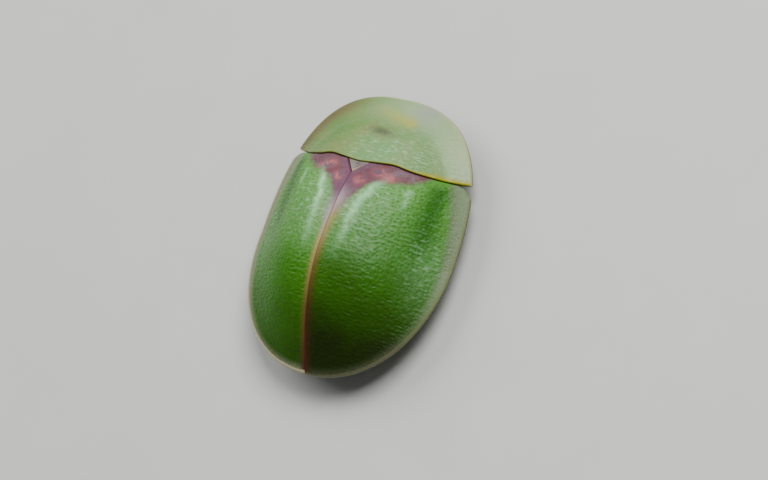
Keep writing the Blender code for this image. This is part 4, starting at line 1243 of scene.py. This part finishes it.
def eye_lens(colours):
    """Cuticle of the eye's facets: black and clear as glass, so that each facet holds a glint."""
    finish, tree, shader, here = new_finish("eye_lens")
    clouds = add(tree, "ShaderNodeTexNoise", {"Vector": here, "Scale": per_mm(0.1), "Detail": 1.0})
    colour = add(tree, "ShaderNodeMix", {"Factor": clouds, "A": colours.eye, "B": colours.eye_sheen},
                 data_type="RGBA")
    feed(tree, shader, {"Base Color": colour, "Roughness": 0.12, "IOR": 1.55, "Coat Weight": 0.5,
                        "Coat Roughness": 0.05})
    return finish


def bristle_chitin(colours):
    """Chitin of the bristles, drawn out thin and pale gold, that catches light along its length."""
    finish, tree, shader, here = new_finish("bristle_chitin")
    clouds = add(tree, "ShaderNodeTexNoise", {"Vector": here, "Scale": per_mm(0.2), "Detail": 1.0})
    colour = add(tree, "ShaderNodeMix", {"Factor": clouds, "A": colours.bristle, "B": colours.bristle_deep},
                 data_type="RGBA")
    feed(tree, shader, {"Base Color": colour, "Roughness": 0.4, "IOR": 1.55})
    return finish


def body_half(y):
    """Half width of the body below the shell."""
    return half_width_at(y, BODY_SHARE)


def prothorax_half(y):
    """Half width of the prothorax, which widens behind the head."""
    widening = rise(y, PROTHORAX_Y[0], PROTHORAX_Y[0] + PROTHORAX_WIDENS)
    return blend(PROTHORAX_FRONT_HALF, PROTHORAX_HALF, widening)


def belly_z(x, y):
    """Underside of the body: a keel between the front legs, sides and rear that rise."""
    sides = BELLY_SIDE_RISE * (x / HALF_WIDTH / BODY_SHARE) ** 2
    rear = BELLY_REAR_RISE * clamp((y - ABDOMEN_Y[0]) / (ABDOMEN_Y[1] - ABDOMEN_Y[0])) ** 2
    keel = KEEL_DROP * swell(x, KEEL_HALF) * (1 - rise(y, PROTHORAX_Y[0], METATHORAX_Y[1]))
    return BELLY_Z + sides + rear - keel


def body_plate(name, node, ends, half_at, grid, relief, finish, tree, sizes, seed):
    """Plate of the underside, whose fine side faces down. The relief gives depth and tone."""
    rows, columns = grid
    turn = np.linspace(0.5, -0.5, columns + 1)[None, :] * math.pi
    y = np.linspace(ends[0], ends[1], rows + 1)[:, None] + 0 * turn
    half = half_at(y) + BODY_SPARE
    x = half * np.sin(turn)
    depth, tone = relief(x, y, half)
    edge = np.minimum(half - np.abs(x), np.minimum(y - ends[0], ends[1] - y) * 0.8)
    z = belly_z(x, y) + depth + 0.8 * roll(np.maximum(edge, 0.0))
    top = np.maximum(under_z(x, y) - SOLID_GAP, z + THINNEST_PLATE)
    inner = np.stack([x, y, top], -1)[::COARSE_STEP, ::COARSE_STEP]
    values = {"lie": np.stack([x, y, 0 * x], -1), "pitted": rise(edge, 0, 0.08), "ridged": 0 * x,
              "tone": tone}
    piece = shell_piece(name, np.stack([x, y, z], -1), inner, values)
    settle(piece, tree, grain_inputs(sizes, finish, seed=seed, fineness=0.62, depth=0.6))
    hand_over(piece, "body", node)


def hip_hollows(x, y):
    """Hollows round the hips of the legs."""
    hips = [joints[0] for joints in LEGS.values()]
    return sum(HIP_HOLLOW_DEPTH * swell(np.hypot(np.abs(x) - hip[0], y - hip[1]), HIP_HOLLOW_RADIUS)
               for hip in hips)


def make_thorax(sizes, colours, tree):
    """Three plates with a groove down each side and hollows for the legs."""
    finish = body_chitin(colours)

    def relief(x, y, half):
        off_groove = np.abs(x) - SIDE_GROOVE_SHARE * half - SIDE_GROOVE_SWING * np.sin(3 * y)
        groove = SIDE_GROOVE_DEPTH * swell(off_groove, SIDE_GROOVE_HALF)
        middle = MIDDLE_LINE_DEPTH * swell(x, MIDDLE_LINE_HALF) * rise(y, *MIDDLE_LINE_Y)
        return hip_hollows(x, y) + groove + middle, 0 * x

    plates = (
        ("prothorax", PROTHORAX_Y, prothorax_half, (60, 100), 31.0),
        ("mesothorax", MESOTHORAX_Y, body_half, (60, 120), 32.0),
        ("metathorax", METATHORAX_Y, body_half, (80, 120), 33.0),
    )
    for name, ends, half_at, grid, seed in plates:
        body_plate(name + "_plate", name, ends, half_at, grid, relief, finish, tree, sizes, seed)


def make_abdomen(sizes, colours, tree):
    """Belly of five sternites, amber along its edge, with a dimple at each end of a sternite."""
    finish = body_chitin(colours)
    length = (ABDOMEN_Y[1] - ABDOMEN_Y[0]) / STERNITES

    def relief(x, y, half):
        along = clamp((y - ABDOMEN_Y[0]) / length, 0, STERNITES - 1e-6)
        share = along - np.floor(along)
        step = -STERNITE_STEP * share ** STERNITE_ROUNDING
        seam = BELLY_SEAM_DEPTH * swell(np.minimum(share, 1 - share) * length, BELLY_SEAM_HALF)
        tone = rise(half - np.abs(x), AMBER_EDGE, 0) * rise(y, *AMBER_STARTS_Y)
        tone = np.maximum(tone, rise(y, *AMBER_TIP_Y))
        off_dimple = np.hypot(np.abs(x) - DIMPLE_SHARE * half, (share - 0.5) * length)
        dimple = DIMPLE_DEPTH * swell(off_dimple, DIMPLE_RADIUS)
        return step + seam + dimple, AMBER_STRENGTH * tone

    body_plate("abdomen_plates", "abdomen", ABDOMEN_Y, body_half, (160, 160), relief, finish, tree,
               sizes, 34.0)


def dented(vertices, centre, features):
    """Moves vertices towards the centre near each feature of x, y, z, radius and depth, on both sides."""
    away = unit(vertices - np.array(centre))
    both = np.stack([np.abs(vertices[:, 0]), vertices[:, 1], vertices[:, 2]], -1)
    for x, y, z, radius, depth in features:
        far = np.linalg.norm(both - np.array([x, y, z]), axis=-1)
        vertices = vertices - away * (depth * swell(far, radius))[:, None]
    return vertices


def on_side(knots, side):
    """Knots of a bar on the left, or turned over for the right."""
    return [(side * x, y, z, wide, high) for x, y, z, wide, high in knots]


def make_head(colours):
    """Head with its neck, and mouthparts: lips, mandibles with teeth, and two pairs of palps."""
    finish = body_chitin(colours)
    head = Form()
    x, y, z = HEAD_CENTRE
    half_x, half_y, half_z = HEAD_RADII
    head.bar([(x, y - half_y, z, half_x, half_z), (x, y + half_y, z, half_x, half_z)], rings=90,
             sides=110, caps=(half_y, half_y), hairy=0.6)
    head.vertices = dented(head.vertices, HEAD_CENTRE, HEAD_FEATURES)
    head.bar(NECK, rings=20, sides=40, hairy=0.0)
    form_piece("head_capsule", head, finish, "body", "head")

    mouth = Form()
    for knots in (LABRUM, LABIUM):
        mouth.bar(knots, rings=24, sides=20, hairy=0.5)
    for side in (1, -1):
        mouth.bar(on_side(MANDIBLE, side), rings=20, sides=16, tone=0.25, hairy=0.0)
        for tooth_x in TEETH_X:
            tooth = [(tooth_x + shift, *rest) for shift, *rest in TOOTH]
            mouth.bar(on_side(tooth, side), rings=6, sides=8, tone=0.3, hairy=0.0)
        for palp in (MAXILLARY_PALP, LABIAL_PALP):
            for first, last in zip(palp, palp[1:]):
                middle = blend(np.array(first), np.array(last), 0.6)
                middle[3:] = last[3] * PALP_SWELL
                knots = on_side((first, middle, last), side)
                mouth.bar(knots, rings=12, sides=12, tone=0.8, hairy=0.8)
    form_piece("mouthparts_fine", mouth, finish, "body", "mouthparts")
    return [head, mouth]


def facet_tree():
    """A small lens at each point of a surface."""
    tree, given = geometry_tree("facets", {"Facet Radius": "Float", "Finish": "Material"})
    lens = add(tree, "GeometryNodeMeshIcoSphere", {"Radius": given["Facet Radius"], "Subdivisions": 1})
    lens = add(tree, "GeometryNodeSetShadeSmooth", {"Geometry": lens})
    set_out = add(tree, "GeometryNodeInstanceOnPoints", {"Points": given["Geometry"], "Instance": lens})
    both = add(tree, "GeometryNodeJoinGeometry")
    tree.links.new(given["Geometry"], both.inputs[0])
    tree.links.new(set_out.outputs[0], both.inputs[0])
    real = add(tree, "GeometryNodeRealizeInstances", {"Geometry": both})
    done = add(tree, "GeometryNodeSetMaterial", {"Geometry": real, "Material": given["Finish"]})
    add(tree, "NodeGroupOutput", {"Geometry": done})
    return tree


def make_eyes(limbs, colours):
    """Two upright oval eyes, each covered in small lenses."""
    tree = facet_tree()
    finish = eye_lens(colours)
    for side, name in ((1, "left"), (-1, "right")):
        ball = bmesh.new()
        bmesh.ops.create_icosphere(ball, subdivisions=4, radius=1.0)
        ball.transform(Matrix.Translation((side * EYE_CENTRE[0], EYE_CENTRE[1], EYE_CENTRE[2]))
                       @ Matrix.Diagonal((*EYE_RADII, 1.0)))
        mesh = bpy.data.meshes.new("eye")
        ball.to_mesh(mesh)
        ball.free()
        mesh.shade_smooth()
        eye = bpy.data.objects.new("eye_" + name + "_facets", mesh)
        bpy.context.scene.collection.objects.link(eye)
        settle(eye, tree, {"Facet Radius": limbs.facet / MM, "Finish": finish})
        hand_over(eye, "eye", "eye_" + name)


def make_antennae(limbs, colours, down):
    """Eleven joints: a stout first one, slender ones, and a club of five."""
    finish = limb_chitin("antenna_chitin", colours.antenna_amber, colours.antenna_dark, colours)
    line = route(ANTENNA_ROUTE, 110, even=True)
    slim, club = limbs.antenna_slim / 2 / MM, limbs.antenna_club / 2 / MM
    left = Form()
    starts = np.concatenate([[0.0], np.cumsum(ANTENNA_LENGTHS)]) / sum(ANTENNA_LENGTHS)
    for joint, (start, end) in enumerate(zip(starts, starts[1:])):
        places = np.array([start, blend(start, end, JOINT_WIDEST_AT), end]) * (len(line) - 1)
        spots = np.stack([np.interp(places, np.arange(len(line)), line[:, axis]) for axis in range(3)], -1)
        in_club = rise(joint, *CLUB_WIDENS)
        wide = slim * FIRST_JOINT_WIDTH if joint == 0 else blend(slim, club, in_club)
        tip = wide * (LAST_JOINT_TIP if end == starts[-1] else JOINT_TIP)
        knots = [(*spot, half, half) for spot, half in zip(spots, (wide * JOINT_ROOT, wide, tip))]
        left.bar(knots, rings=22, sides=18, tone=rise(joint, *CLUB_DARKENS),
                 hairy=blend(0.3, 1.0, in_club))
    forms = form_pair("antenna", left, finish, "antenna")
    down_piece("antenna_down", forms, down, bristle_chitin(colours), "antenna", density=520.0,
               length=0.06, thickness=0.0035, lean=1.6, seed=7)


def leg_knots(start, end, profile):
    """Knots of a bar between two places, from share along, shift aside, lift, half width and height."""
    axis = end - start
    aside = unit(np.cross(UPWARDS, axis))
    raised = unit(np.cross(axis, aside))
    return [(*(start + axis * share + aside * shift + raised * lift), wide, high)
            for share, shift, lift, wide, high in profile]


def scaled(profile, half):
    """Profile of a leg's joint, whose last two values are shares of a half width."""
    return [(share, shift, lift, wide * half, high * half) for share, shift, lift, wide, high in profile]


def make_legs(limbs, colours, down):
    """Three pairs of legs, each of coxa, femur, tibia with two spurs, and tarsus."""
    black = body_chitin(colours)
    amber = limb_chitin("leg_chitin", colours.amber, colours.black, colours)
    femur_half = limbs.femur_width / 2 / MM
    tibia_half = limbs.tibia_width / 2 / MM
    forms = []
    for name, (hip, knee, ankle, toe) in LEGS.items():
        hip, knee, ankle, toe = (np.array(joint) for joint in (hip, knee, ankle, toe))
        outward = unit(knee - hip)

        coxa = Form()
        coxa.bar([(hip[0] - 0.10, hip[1], 0.70, 0.19, 0.20), (*(hip + (0, 0, 0.06)), 0.22, 0.20),
                  (*(hip + outward * 0.13), 0.15, 0.15)], rings=26, sides=22, caps=(0.12, 0.14), hairy=0.4)
        forms += form_pair("coxa_" + name, coxa, black, "body")

        femur = Form()
        start, end = (hip + outward * far for far in TROCHANTER_SPAN)
        femur.bar(leg_knots(start, end, TROCHANTER), rings=16, sides=16, tone=1.0, hairy=0.4)
        thigh = [FEMUR_ROOT, *scaled(FEMUR_PROFILE, femur_half)]
        femur.bar(leg_knots(hip + outward * FEMUR_START, knee, thigh), rings=34, sides=22,
                  tone=lambda share: rise(share, *FEMUR_DARK), hairy=0.7)
        forms += form_pair("femur_" + name, femur, amber, "leg")

        tibia = Form()
        tibia.bar(leg_knots(knee, ankle, scaled(TIBIA_PROFILE, tibia_half)), rings=34, sides=20)
        axis = unit(ankle - knee)
        aside = unit(np.cross(UPWARDS, axis))
        for shift in (-SPUR_ASIDE, SPUR_ASIDE):
            root = ankle - axis * SPUR_BACK + aside * shift * tibia_half
            tip = root + axis * SPUR_LENGTH - np.array([0, 0, SPUR_DROOP])
            knots = [(*spot, half, half) for spot, half in zip((root, tip), SPUR_HALF)]
            tibia.bar(knots, rings=6, sides=8, tone=0.6, hairy=0.0)
        forms += form_pair("tibia_" + name, tibia, amber, "leg")

        forms += make_tarsus(name, ankle, toe, amber)
    down_piece("leg_down", forms, down, bristle_chitin(colours), "leg", density=95.0, length=0.09,
               thickness=0.0045, lean=1.5, seed=9)


def make_tarsus(name, ankle, toe, finish):
    """Two flat joints, a third one of two lobes with brush soles, and the claw joint with its claws."""
    flat = np.array([toe[0] - ankle[0], toe[1] - ankle[1], 0.0])
    aside = np.cross(UPWARDS, unit(flat))

    def knots(profile, side=1):
        spots = [np.array([ankle[0], ankle[1], height]) + flat * along + aside * across * side
                 for along, across, height, _, _ in profile]
        return [(*spot, *entry[3:]) for spot, entry in zip(spots, profile)]

    tarsus = Form()
    tarsus.bar([(*(ankle + (0, 0, -0.02)), 0.07, 0.07), *knots(FIRST_TARSAL)], rings=16, sides=16, hairy=0.8)
    tarsus.bar(knots(SECOND_TARSAL), rings=16, sides=16, hairy=0.8)
    for side in (1, -1):
        tarsus.bar(knots(LOBE_TARSAL, side), rings=16, sides=16, hairy=0.9)
    tarsus.bar(knots(CLAW_TARSAL), rings=16, sides=14, hairy=0.4)
    for side in (1, -1):
        tarsus.bar(knots(CLAW, side), rings=14, sides=10, tone=0.6, hairy=0.0)
    return form_pair("tarsus_" + name, tarsus, finish, "leg")


# Stage

def make_camera():
    """Camera of the photo: its direction, roll and distance from a fit to the shell's outline."""
    azimuth = math.radians(CAMERA_AZIMUTH)
    elevation = math.radians(CAMERA_ELEVATION)
    lean = math.radians(CAMERA_ROLL)
    level = math.cos(elevation)
    back = Vector((math.sin(azimuth) * level, -math.cos(azimuth) * level, math.sin(elevation)))
    head = Vector((0.0, -1.0, 0.0))
    up = (head - back * head.dot(back)).normalized()
    right = up.cross(back)
    up = up * math.cos(lean) + right * math.sin(lean)
    right = up.cross(back)
    aim = Vector(CAMERA_AIM)
    aim += right * ((IMAGE_WIDTH / 2 - AIM_PIXEL[0]) / PIXELS_PER_MM)
    aim -= up * ((IMAGE_HEIGHT / 2 - AIM_PIXEL[1]) / PIXELS_PER_MM)
    lens = bpy.data.cameras.new("camera")
    lens.sensor_width = 36.0
    lens.lens = PIXELS_PER_MM * CAMERA_DISTANCE * lens.sensor_width / IMAGE_WIDTH
    lens.clip_start = 0.001
    camera = bpy.data.objects.new("camera", lens)
    bpy.context.scene.collection.objects.link(camera)
    turn = Matrix((right, up, back)).transposed().to_4x4()
    camera.matrix_world = Matrix.Translation((aim + back * CAMERA_DISTANCE) * MM) @ turn
    bpy.context.scene.camera = camera


def make_softbox(name, direction, distance, size, power):
    """Square softbox that faces the beetle from a direction."""
    light = bpy.data.lights.new(name, "AREA")
    light.shape = "SQUARE"
    light.size = size * MM
    light.energy = power
    box = bpy.data.objects.new(name, light)
    bpy.context.scene.collection.objects.link(box)
    away = Vector(direction).normalized()
    turn = away.to_track_quat("Z", "Y").to_matrix().to_4x4()
    box.matrix_world = Matrix.Translation((away * distance + Vector(CAMERA_AIM)) * MM) @ turn


def make_stage(stage, colours):
    """Camera, paper floor, two softboxes and even light from all round."""
    make_camera()
    floor = bmesh.new()
    bmesh.ops.create_grid(floor, x_segments=1, y_segments=1, size=FLOOR_HALF * MM)
    mesh = bpy.data.meshes.new("floor")
    floor.to_mesh(mesh)
    floor.free()
    mesh.materials.append(studio_paper(colours))
    ground = bpy.data.objects.new("floor", mesh)
    bpy.context.scene.collection.objects.link(ground)
    make_softbox("key_softbox", KEY_DIRECTION, 90.0, 52.0, stage.key_power)
    make_softbox("fill_softbox", FILL_DIRECTION, 120.0, 90.0, stage.fill_power)
    world = bpy.data.worlds.new("studio")
    world.use_nodes = True
    sky = world.node_tree.nodes["Background"]
    feed(world.node_tree, sky, {"Color": stage.sky_colour, "Strength": stage.sky_strength})
    bpy.context.scene.world = world


# Add-on

def length_setting(name, description, millimetres):
    """Length that a user can change."""
    return bpy.props.FloatProperty(name=name, description=description, default=millimetres * MM,
                                   min=0.0, unit="LENGTH", precision=5)


def colour_setting(name, description, code):
    """Colour that a user can change."""
    return bpy.props.FloatVectorProperty(name=name, description=description, default=linear(code),
                                         size=3, min=0.0, max=1.0, subtype="COLOR")


class BeetleGrain(bpy.types.PropertyGroup):
    pit_across: length_setting("Pit Pitch Across", "Distance between pits across the wing case", 0.13)
    pit_along: length_setting("Pit Pitch Along", "Distance between pits along the wing case", 0.095)
    pit_share: bpy.props.FloatProperty(name="Pit Size", description="Pit radius as a share of the pitch",
                                       default=0.40, min=0.05, max=0.9, subtype="FACTOR")
    pit_depth: length_setting("Pit Depth", "Depth of a pit of the wing case", 0.009)
    pit_scatter: bpy.props.FloatProperty(name="Pit Scatter", description="How far pits stray from rows",
                                         default=0.85, min=0.0, max=1.0, subtype="FACTOR")
    wrinkle_across: length_setting("Wrinkle Length", "Length of the wrinkles between pits", 0.20)
    wrinkle_along: length_setting("Wrinkle Width", "Width of the wrinkles between pits", 0.062)
    wrinkle_height: length_setting("Wrinkle Height", "Height of the wrinkles between pits", 0.030)
    ridge_pitch: length_setting("Ridge Pitch", "Distance between ridges of the margin", 0.07)
    ridge_height: length_setting("Ridge Height", "Height of the ridges of the margin", 0.001)


class BeetleLimbs(bpy.types.PropertyGroup):
    femur_width: length_setting("Femur Width", "Width of a femur at its thickest", 0.34)
    tibia_width: length_setting("Tibia Width", "Width of a tibia half way along", 0.20)
    antenna_slim: length_setting("Antenna Width", "Width of the slender joints", 0.12)
    antenna_club: length_setting("Club Width", "Width of the club's joints", 0.20)
    facet: length_setting("Facet Radius", "Radius of one lens of the eye", 0.016)


class BeetleColours(bpy.types.PropertyGroup):
    green_front: colour_setting("Front Green", "Wing cases near their base", "#468a12")
    green_middle: colour_setting("Middle Green", "Wing cases half way along", "#336e02")
    # Low and rear greens: partly the body seen through the wing case, partly painted shade
    green_low: colour_setting("Low Green", "Wing cases two thirds along", "#295202")
    green_rear: colour_setting("Rear Green", "Wing cases at their tip", "#1b2803")
    # Painted shade behind each shoulder and under the right margin
    painted_shade_green: colour_setting("Strip Green", "Slope behind each shoulder", "#1f5a02")
    # Painted sheen, laid where the wing cases and the pronotum would reflect the light
    painted_sheen: colour_setting("Bloom", "Waxy bloom on the front of the shell", "#a5cda0")
    # Painted shade on the floors of the wing cases' pits
    pit_painted_shade: colour_setting("Pit Green", "Floor of the pits", "#16400c")
    costa_green: colour_setting("Costa Green", "Pale raised line of each wing case", "#aceab0")
    margin_grey: colour_setting("Margin Grey", "Flat margin of the wing cases", "#7a8062")
    margin_speck: colour_setting("Margin Speck", "Pale specks of the flat margin", "#9c948c")
    band_violet: colour_setting("Band Violet", "Greyish parts of the band at the base", "#6e4760")
    band_maroon: colour_setting("Band Maroon", "Darker parts of the band at the base", "#682a44")
    band_rose: colour_setting("Band Rose", "Brighter parts of the band at the base", "#c46a74")
    suture_grey: colour_setting("Suture Grey", "Suture behind the scutellum", "#ab96a0")
    suture_tan: colour_setting("Suture Tan", "Suture in front", "#aa9058")
    suture_brown: colour_setting("Suture Brown", "Suture half way along", "#685026")
    suture_maroon: colour_setting("Suture Maroon", "Suture at the tip", "#482418")
    # Pale bead of the edge: partly its own colour, partly a painted highlight on the left of the wing cases
    rim_cream: colour_setting("Rim Cream", "Bead round the edge of the shell", "#c2b892")
    under_green: colour_setting("Under Green", "Inner side of the shell", "#626a40")
    olive: colour_setting("Olive", "Pronotum", "#68863a")
    olive_green: colour_setting("Olive Green", "Greener patches of the pronotum", "#528234")
    olive_tan: colour_setting("Olive Tan", "Browner patches of the pronotum", "#7e7f46")
    # Painted shade on the floors of the pronotum's pits
    olive_pit_painted_shade: colour_setting("Olive Pit", "Hollows between the wrinkles of the pronotum", "#546c30")
    violet_tint: colour_setting("Violet Tint", "Cool patch at the front of the pronotum", "#9b94a8")
    streak_yellow: colour_setting("Streak Yellow", "Short streak on the pronotum", "#b5a82a")
    margin_pale: colour_setting("Margin Pale", "Flat margin of the pronotum", "#b2cca0")
    margin_tan: colour_setting("Margin Tan", "Outermost margin of the pronotum", "#664e30")
    hind_yellow: colour_setting("Hind Yellow", "Hind edge of the pronotum", "#9c9808")
    smudge: colour_setting("Smudge", "Dark smudge on the pronotum", "#4c4640")
    scutellum_dark: colour_setting("Scutellum Dark", "Darker parts of the scutellum", "#64545c")
    scutellum_olive: colour_setting("Scutellum Olive", "Scutellum", "#7d7664")
    scutellum_tip: colour_setting("Scutellum Tip", "Tip of the scutellum", "#c9ae58")
    black: colour_setting("Black", "Underside of the body", "#0f0d0c")
    black_brown: colour_setting("Brown Black", "Browner patches of the underside", "#221813")
    amber: colour_setting("Amber", "Legs and the edge of the belly", "#b98a38")
    amber_deep: colour_setting("Deep Amber", "Browner patches of legs and feelers", "#94611f")
    antenna_amber: colour_setting("Antenna Amber", "First joints of the feelers", "#bf9145")
    antenna_dark: colour_setting("Antenna Dark", "Club of the feelers", "#2a1c12")
    eye: colour_setting("Eye", "Eyes", "#060607")
    eye_sheen: colour_setting("Eye Sheen", "Browner patches of the eyes", "#17110e")
    bristle: colour_setting("Bristle", "Bristles and down", "#cdb27a")
    bristle_deep: colour_setting("Deep Bristle", "Darker bristles", "#8f6b38")
    paper: colour_setting("Paper", "Studio floor", "#d6d6d2")
    paper_dark: colour_setting("Paper Shade", "Faint clouds in the studio floor", "#cfcfcb")


class BeetleStage(bpy.types.PropertyGroup):
    key_power: bpy.props.FloatProperty(name="Key Power", description="Power of the main softbox",
                                       default=0.10, min=0.0, unit="POWER", precision=4)
    fill_power: bpy.props.FloatProperty(name="Fill Power", description="Power of the fill softbox",
                                        default=0.10, min=0.0, unit="POWER", precision=4)
    sky_strength: bpy.props.FloatProperty(name="Room Light", description="Strength of the even light",
                                          default=0.16, min=0.0)
    sky_colour: colour_setting("Room Colour", "Colour of the even light", "#e8eef2")


class BEETLE_OT_pronotum(bpy.types.Operator):
    """Makes the shield-shaped pronotum"""
    bl_idname = "beetle.pronotum"
    bl_label = "Pronotum"

    def execute(self, context):
        make_pronotum(context.scene.beetle_grain, context.scene.beetle_colours, grain_tree())
        return {"FINISHED"}


class BEETLE_OT_scutellum(bpy.types.Operator):
    """Makes the small plate between the bases of the wing cases"""
    bl_idname = "beetle.scutellum"
    bl_label = "Scutellum"

    def execute(self, context):
        make_scutellum(context.scene.beetle_grain, context.scene.beetle_colours, grain_tree())
        return {"FINISHED"}


class BEETLE_OT_wing_cases(bpy.types.Operator):
    """Makes the two pitted wing cases"""
    bl_idname = "beetle.wing_cases"
    bl_label = "Wing Cases"

    def execute(self, context):
        scene = context.scene
        tree = grain_tree()
        finish = wing_case_chitin(scene.beetle_colours)
        for side in (1, -1):
            make_wing_case(side, scene.beetle_grain, tree, finish)
        return {"FINISHED"}


class BEETLE_OT_thorax(bpy.types.Operator):
    """Makes the three plates under the thorax"""
    bl_idname = "beetle.thorax"
    bl_label = "Thorax"

    def execute(self, context):
        make_thorax(context.scene.beetle_grain, context.scene.beetle_colours, grain_tree())
        return {"FINISHED"}


class BEETLE_OT_abdomen(bpy.types.Operator):
    """Makes the plates of the belly"""
    bl_idname = "beetle.abdomen"
    bl_label = "Abdomen"

    def execute(self, context):
        make_abdomen(context.scene.beetle_grain, context.scene.beetle_colours, grain_tree())
        return {"FINISHED"}


class BEETLE_OT_head(bpy.types.Operator):
    """Makes the head and its mouthparts"""
    bl_idname = "beetle.head"
    bl_label = "Head"

    def execute(self, context):
        colours = context.scene.beetle_colours
        forms = make_head(colours)
        down_piece("head_down", forms, down_tree(), bristle_chitin(colours), "body", density=60.0,
                   length=0.06, thickness=0.004, lean=1.0, seed=4)
        return {"FINISHED"}


class BEETLE_OT_eyes(bpy.types.Operator):
    """Makes the two faceted eyes"""
    bl_idname = "beetle.eyes"
    bl_label = "Eyes"

    def execute(self, context):
        make_eyes(context.scene.beetle_limbs, context.scene.beetle_colours)
        return {"FINISHED"}


class BEETLE_OT_antennae(bpy.types.Operator):
    """Makes the jointed feelers and their down"""
    bl_idname = "beetle.antennae"
    bl_label = "Antennae"

    def execute(self, context):
        make_antennae(context.scene.beetle_limbs, context.scene.beetle_colours, down_tree())
        return {"FINISHED"}


class BEETLE_OT_legs(bpy.types.Operator):
    """Makes the six legs, their feet and bristles"""
    bl_idname = "beetle.legs"
    bl_label = "Legs"

    def execute(self, context):
        make_legs(context.scene.beetle_limbs, context.scene.beetle_colours, down_tree())
        return {"FINISHED"}


class BEETLE_OT_stage(bpy.types.Operator):
    """Sets the pale floor, the softboxes and the photo's camera"""
    bl_idname = "beetle.stage"
    bl_label = "Stage"

    def execute(self, context):
        make_stage(context.scene.beetle_stage, context.scene.beetle_colours)
        return {"FINISHED"}


SETTINGS = (BeetleGrain, BeetleLimbs, BeetleColours, BeetleStage)
OPERATORS = (
    BEETLE_OT_pronotum, BEETLE_OT_scutellum, BEETLE_OT_wing_cases, BEETLE_OT_thorax, BEETLE_OT_abdomen,
    BEETLE_OT_head, BEETLE_OT_eyes, BEETLE_OT_antennae, BEETLE_OT_legs, BEETLE_OT_stage,
)


class BEETLE_PT_pieces(bpy.types.Panel):
    """Buttons for the beetle's pieces, in the order in which they are made"""
    bl_label = "Tortoise Beetle"
    bl_idname = "BEETLE_PT_pieces"
    bl_space_type = "VIEW_3D"
    bl_region_type = "UI"
    bl_category = "Beetle"

    def draw(self, context):
        for operator in OPERATORS:
            self.layout.operator(operator.bl_idname)


def register():
    for entry in (*SETTINGS, *OPERATORS, BEETLE_PT_pieces):
        bpy.utils.register_class(entry)
    bpy.types.Scene.beetle_grain = bpy.props.PointerProperty(type=BeetleGrain)
    bpy.types.Scene.beetle_limbs = bpy.props.PointerProperty(type=BeetleLimbs)
    bpy.types.Scene.beetle_colours = bpy.props.PointerProperty(type=BeetleColours)
    bpy.types.Scene.beetle_stage = bpy.props.PointerProperty(type=BeetleStage)


def unregister():
    del bpy.types.Scene.beetle_stage
    del bpy.types.Scene.beetle_colours
    del bpy.types.Scene.beetle_limbs
    del bpy.types.Scene.beetle_grain
    for entry in reversed((*SETTINGS, *OPERATORS, BEETLE_PT_pieces)):
        bpy.utils.unregister_class(entry)


def main():
    register()
    bpy.ops.beetle.pronotum()
    bpy.ops.beetle.scutellum()
    bpy.ops.beetle.wing_cases()
    bpy.ops.beetle.thorax()
    bpy.ops.beetle.abdomen()
    bpy.ops.beetle.head()
    bpy.ops.beetle.eyes()
    bpy.ops.beetle.antennae()
    bpy.ops.beetle.legs()
    bpy.ops.beetle.stage()


if __name__ == "__main__":
    main()
